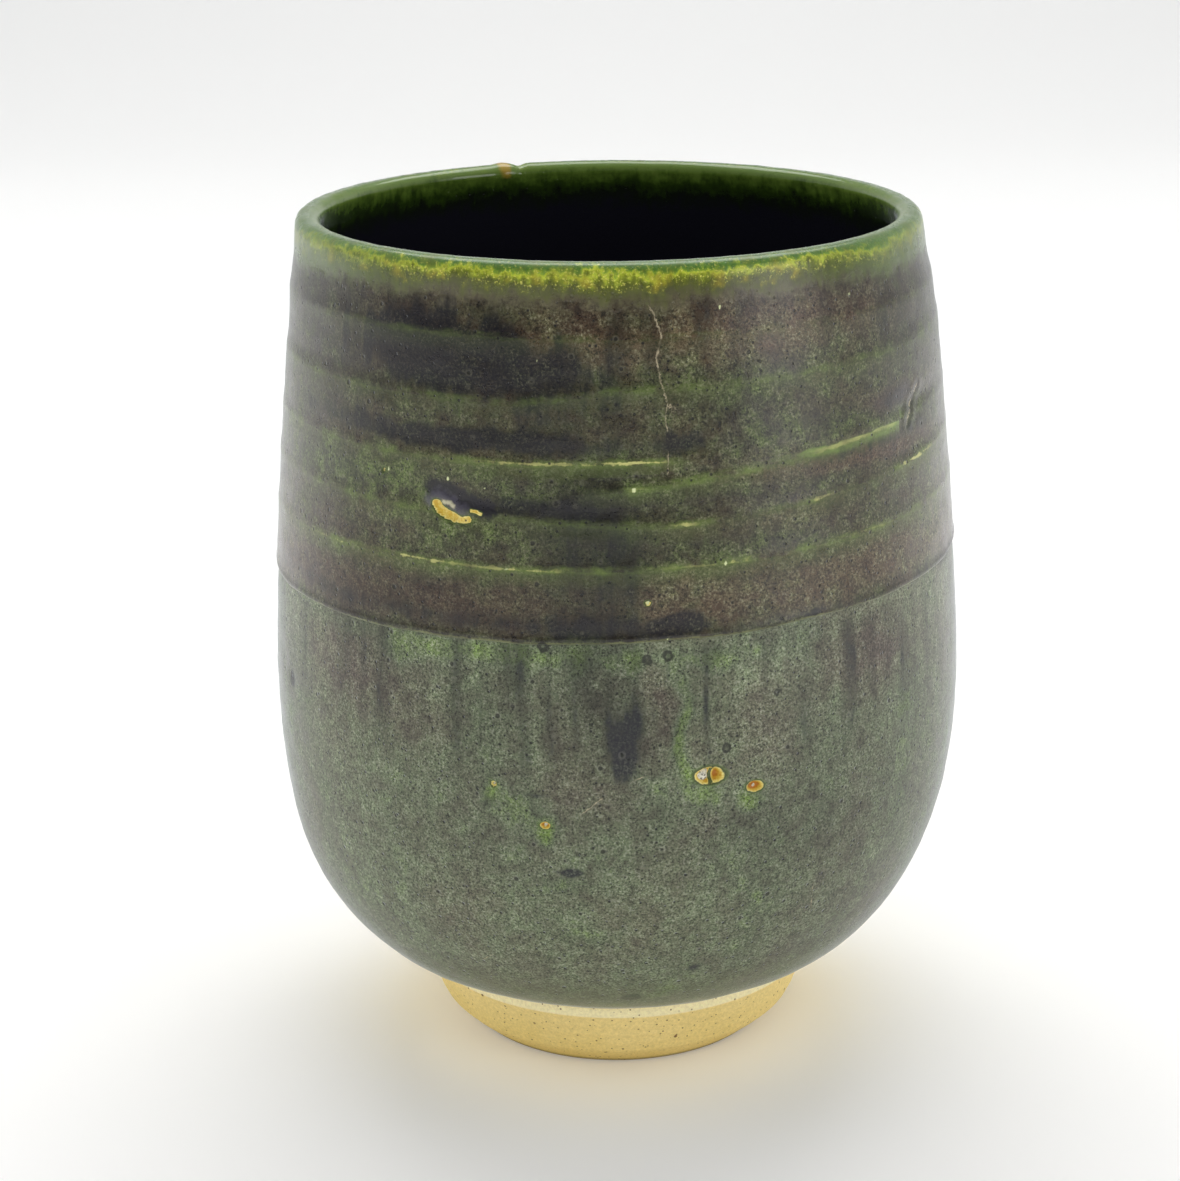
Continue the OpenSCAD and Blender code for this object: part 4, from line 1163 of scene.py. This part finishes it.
def makeFoot():
    # the section, clockwise from the outer edge of the standing face, with its corners eased
    form = {"standOut": 18.05, "edgeOut": 18.65, "edge": 0.6, "bevelRadius": 21.35, "bevelHeight": 2.9,
            "bandHeight": 1.2, "boreRadius": 14.5, "boreTop": 13.5, "ease": 0.35,
            "uneven": 0.14, "turningLines": 0.03, "lineSpacing": 1.3}
    joint, top, base = cup["jointRadius"], cup["jointHeight"], cup["baseHeight"]
    innerTop = base + (top - base) * form["boreTop"] / joint
    corners = [
        (form["standOut"], 0.0, 0.15), (form["edgeOut"], form["edge"], 0.3),
        (form["bevelRadius"], form["bevelHeight"], 1.1),
        (joint, top - form["bandHeight"], form["ease"]), (joint, top, 0.1),
        (form["boreTop"], innerTop, 0.2), (form["boreRadius"], form["edge"], 0.3),
        (form["boreRadius"] + form["edge"], 0.0, 0.15),
    ]
    points = []
    for k, (r, z, ease) in enumerate(corners):
        here = np.array([r, z])
        before = np.array(corners[k - 1][:2]) - here
        after = np.array(corners[(k + 1) % len(corners)][:2]) - here
        start = here + before / np.linalg.norm(before) * ease
        end = here + after / np.linalg.norm(after) * ease
        for t in np.linspace(0, 1, 6):
            points.append((1 - t) ** 2 * start + 2 * (1 - t) * t * here + t * t * end)
    rounded = [(p[0] * mm, 0.0, p[1] * mm) for p in points]
    edges = [(k, (k + 1) % len(rounded)) for k in range(len(rounded))]
    values = {"Columns": 300, "Rows": 150, "Uneven": form["uneven"] * mm,
              "Turning lines": form["turningLines"] * mm, "Line spacing": form["lineSpacing"] * mm,
              "Material": clay}
    piece = bakeNodes(carrierOf("footSection", rounded, edges), footTree(), values, "footRing")
    dress(piece, clay, "foot_ring")


def stoneTree():
    # one rough grain on each point, turned at random and sized by the point
    tree, given = newTree("burstStones", [
        ("Size", "NodeSocketFloat", 1 * mm), ("Roughness", "NodeSocketFloat", 0.35),
        ("Seed", "NodeSocketInt", 3), ("Material", "NodeSocketMaterial", None)])
    take = given.outputs
    grain = addNode(tree, "GeometryNodeMeshIcoSphere", {"Radius": 0.5, "Subdivisions": 4})
    turn = addNode(tree, "FunctionNodeRandomValue", {
        "Min": (0, 0, 0), "Max": (6.28, 6.28, 6.28), "Seed": take["Seed"]}, data_type="FLOAT_VECTOR")
    share = addNode(tree, "GeometryNodeInputNamedAttribute", {"Name": "share"}, data_type="FLOAT")
    size = addNode(tree, "ShaderNodeMath", [share, take["Size"]], operation="MULTIPLY")
    scale = addNode(tree, "ShaderNodeCombineXYZ", [size, size, size])
    placedGrains = addNode(tree, "GeometryNodeInstanceOnPoints", {
        "Points": take["Geometry"], "Instance": grain, "Rotation": turn, "Scale": scale})
    real = addNode(tree, "GeometryNodeRealizeInstances", [placedGrains])
    place = addNode(tree, "GeometryNodeInputPosition")
    lumps = addNode(tree, "ShaderNodeTexNoise", {"Vector": place, "Scale": 1500.0, "Detail": 2.0})
    lumps = addNode(tree, "ShaderNodeMath", [lumps, -0.5])
    for share in (take["Roughness"], take["Size"]):
        lumps = addNode(tree, "ShaderNodeMath", [lumps, share], operation="MULTIPLY")
    normal = addNode(tree, "GeometryNodeInputNormal")
    push = addNode(tree, "ShaderNodeVectorMath", {0: normal, 3: lumps}, operation="SCALE")
    moved = addNode(tree, "GeometryNodeSetPosition", {"Geometry": real, "Offset": push})
    painted = addNode(tree, "GeometryNodeSetMaterial", {0: moved, "Material": take["Material"]})
    addNode(tree, "NodeGroupOutput", [painted])
    return tree


def makeStones():
    form = {"size": 1.25, "left": 0.85, "sunk": 0.05, "roughness": 0.5, "seed": 3,
            "shares": (1.12, 0.36, 0.3, 0.34, 0.3, 0.34)}
    points = []
    for k, mark in enumerate(pits):
        aside = form["left"] if k == 0 else 0.0     # the largest stone sits at the left of its pit
        around = np.array([[mark[0] - math.degrees(aside / radiusAt(mark[1]))]])
        level = np.array([[mark[1]]])
        depth = wallRelief(around, level) + cup["coat"] - form["sunk"]
        points.append(placed(around, onOutside(level), depth)[0, 0] * mm)
    carrier = carrierOf("stonePoints", points)
    carrier.data.attributes.new("share", "FLOAT", "POINT").data.foreach_set("value", list(form["shares"]))
    values = {"Size": form["size"] * mm, "Roughness": form["roughness"], "Seed": form["seed"],
              "Material": grainStone}
    piece = bakeNodes(carrier, stoneTree(), values, "burstStones")
    dress(piece, grainStone, "burst_stones")


makeFoot()
makeStones()


# White sweep, tent light and the photographer's camera

def makeStage():
    form = {"front": -1.5, "turn": 0.7, "radius": 0.5, "top": 2.2, "half": 2.5, "white": "#f5f4f1",
            "back": "#e4e4e2", "lift": 0.14, "mirrored": 0.5, "edges": 0.8}
    profile = [(form["front"], 0.0), (form["turn"], 0.0)]
    for degrees in range(6, 91, 6):
        a = math.radians(degrees)
        profile.append((form["turn"] + form["radius"] * math.sin(a), form["radius"] * (1 - math.cos(a))))
    profile.append((form["turn"] + form["radius"], form["top"]))
    verts = [(x, y, z) for y, z in profile for x in (-form["half"], form["half"])]
    faces = [(2 * k, 2 * k + 1, 2 * k + 3, 2 * k + 2) for k in range(len(profile) - 1)]
    mesh = bpy.data.meshes.new("sweep")
    mesh.from_pydata(verts, [], faces)
    mesh.shade_smooth()
    sweep = bpy.data.objects.new("sweep", mesh)
    bpy.context.scene.collection.objects.link(sweep)
    material, tree = newMaterial("white paper sweep")
    place = addNode(tree, "ShaderNodeSeparateXYZ", [addNode(tree, "ShaderNodeTexCoord").outputs["Object"]])
    far = place.outputs[1]
    fade = addNode(tree, "ShaderNodeMapRange", [far, 0.06, 0.4])
    # the tent's walls light the paper beside and behind the cup, which its flanks mirror
    near = addNode(tree, "ShaderNodeMapRange", [far, -0.02, 0.1], interpolation_type="SMOOTHSTEP")
    away = addNode(tree, "ShaderNodeMapRange", [far, 0.45, 0.25, 0.0, form["mirrored"]],
                   interpolation_type="SMOOTHSTEP")
    white = addNode(tree, "ShaderNodeMix", {0: fade, 6: form["white"], 7: form["back"]}, data_type="RGBA")
    paper = addNode(tree, "ShaderNodeBsdfDiffuse", {"Color": white})
    path = addNode(tree, "ShaderNodeLightPath")
    seen = addNode(tree, "ShaderNodeMath", [path.outputs["Is Camera Ray"], path.outputs["Is Glossy Ray"]])
    seen = addNode(tree, "ShaderNodeMath", [seen, path.outputs["Is Transmission Ray"]], use_clamp=True)
    mirrored = addNode(tree, "ShaderNodeMath", [near, away], operation="MULTIPLY")
    mirrored = addNode(tree, "ShaderNodeMath", [mirrored, path.outputs["Is Glossy Ray"]],
                       operation="MULTIPLY")
    # the paper is lit as far as its side and front edges, which other views look towards
    aside = addNode(tree, "ShaderNodeMath", [place.outputs[0]], operation="ABSOLUTE")
    before = addNode(tree, "ShaderNodeMath", [far, -1.0], operation="MULTIPLY")
    outward = addNode(tree, "ShaderNodeMath", [aside, before], operation="MAXIMUM")
    edges = addNode(tree, "ShaderNodeMapRange", [outward, 0.4, 1.3, form["lift"], form["edges"]])
    glow = addNode(tree, "ShaderNodeMath", [seen, edges, mirrored], operation="MULTIPLY_ADD")
    bright = addNode(tree, "ShaderNodeEmission", {"Color": white, "Strength": glow})
    both = addNode(tree, "ShaderNodeAddShader", [paper, bright])
    addNode(tree, "ShaderNodeOutputMaterial", [both])
    mesh.materials.append(material)


def makeLight(name, at, target, size, power, shines):
    data = bpy.data.lights.new(name, "AREA")
    data.shape = "RECTANGLE"
    data.size, data.size_y = size
    data.energy = power
    lamp = bpy.data.objects.new(name, data)
    lamp.location = at
    lamp.rotation_euler = (Vector(target) - Vector(at)).to_track_quat("-Z", "Y").to_euler()
    lamp.visible_glossy = shines         # a wall of the tent gives soft light and no reflection of its own
    bpy.context.scene.collection.objects.link(lamp)


def makeLights():
    middle = (0, 0, 0.05)
    lamps = [       # name, place, target, size, power, and whether the glaze mirrors it
        ("tent left", (-0.75, 0.45, 0.12), middle, (0.5, 0.24), 1.5, False),
        ("tent right", (0.75, 0.45, 0.12), middle, (0.5, 0.24), 1.5, False),
        ("tent top", (0, 0.45, 0.85), (0, 0.2, 0), (0.9, 0.6), 6.4, True),
        ("window left", (-0.75, -0.42, 0.2), middle, (0.3, 0.4), 0.75, False),
        ("window right", (0.72, -0.45, 0.2), middle, (0.45, 0.5), 1.8, True),
        ("window front", (-0.2, -0.8, 0.5), middle, (0.5, 0.3), 1.1, False),
        ("low front", (-0.1, -0.7, 0.06), (0, 0, 0.01), (0.6, 0.08), 0.6, False),
    ]
    for lamp in lamps:
        makeLight(*lamp)
    # the room is white behind and above the cup, and dim behind the camera
    world = bpy.data.worlds.new("tent")
    world.use_nodes = True
    tree = world.node_tree
    tree.nodes.clear()
    way = addNode(tree, "ShaderNodeTexCoord").outputs["Generated"]
    toward = addNode(tree, "ShaderNodeSeparateXYZ", [way])
    back = addNode(tree, "ShaderNodeMath", [toward.outputs[2], 0.5, toward.outputs[1]],
                   operation="MULTIPLY_ADD")
    level = addNode(tree, "ShaderNodeMapRange", [back, -0.5, 0.35, 0.13, 0.62],
                    interpolation_type="SMOOTHSTEP")
    room = addNode(tree, "ShaderNodeBackground", {"Color": "#f8f9ff", "Strength": level})
    white = addNode(tree, "ShaderNodeBackground", {"Color": "#ffffff", "Strength": 0.88})
    path = addNode(tree, "ShaderNodeLightPath").outputs["Is Camera Ray"]
    addNode(tree, "ShaderNodeOutputWorld", [addNode(tree, "ShaderNodeMixShader", [path, room, white])])
    bpy.context.scene.world = world


def makeCamera():
    form = {"at": (-0.28, -291.5, 146.6), "down": 17.95, "turn": 0.515, "roll": -0.546, "focalPx": 2599.6,
            "longSidePx": 1181}
    data = bpy.data.cameras.new("camera")
    data.sensor_width = 36
    data.lens = form["focalPx"] * data.sensor_width / form["longSidePx"]
    data.clip_start = 0.01
    camera = bpy.data.objects.new("camera", data)
    turn = Matrix.Rotation(math.radians(form["turn"]), 4, "Z")
    tilt = Matrix.Rotation(math.radians(90 - form["down"]), 4, "X")
    roll = Matrix.Rotation(math.radians(form["roll"]), 4, "Z")
    camera.matrix_world = Matrix.Translation(Vector(form["at"]) * mm) @ turn @ tilt @ roll
    bpy.context.scene.collection.objects.link(camera)
    bpy.context.scene.camera = camera


makeStage()
makeLights()
makeCamera()
bpy.context.scene.view_settings.view_transform = "Standard"
print("stage, light and camera set")
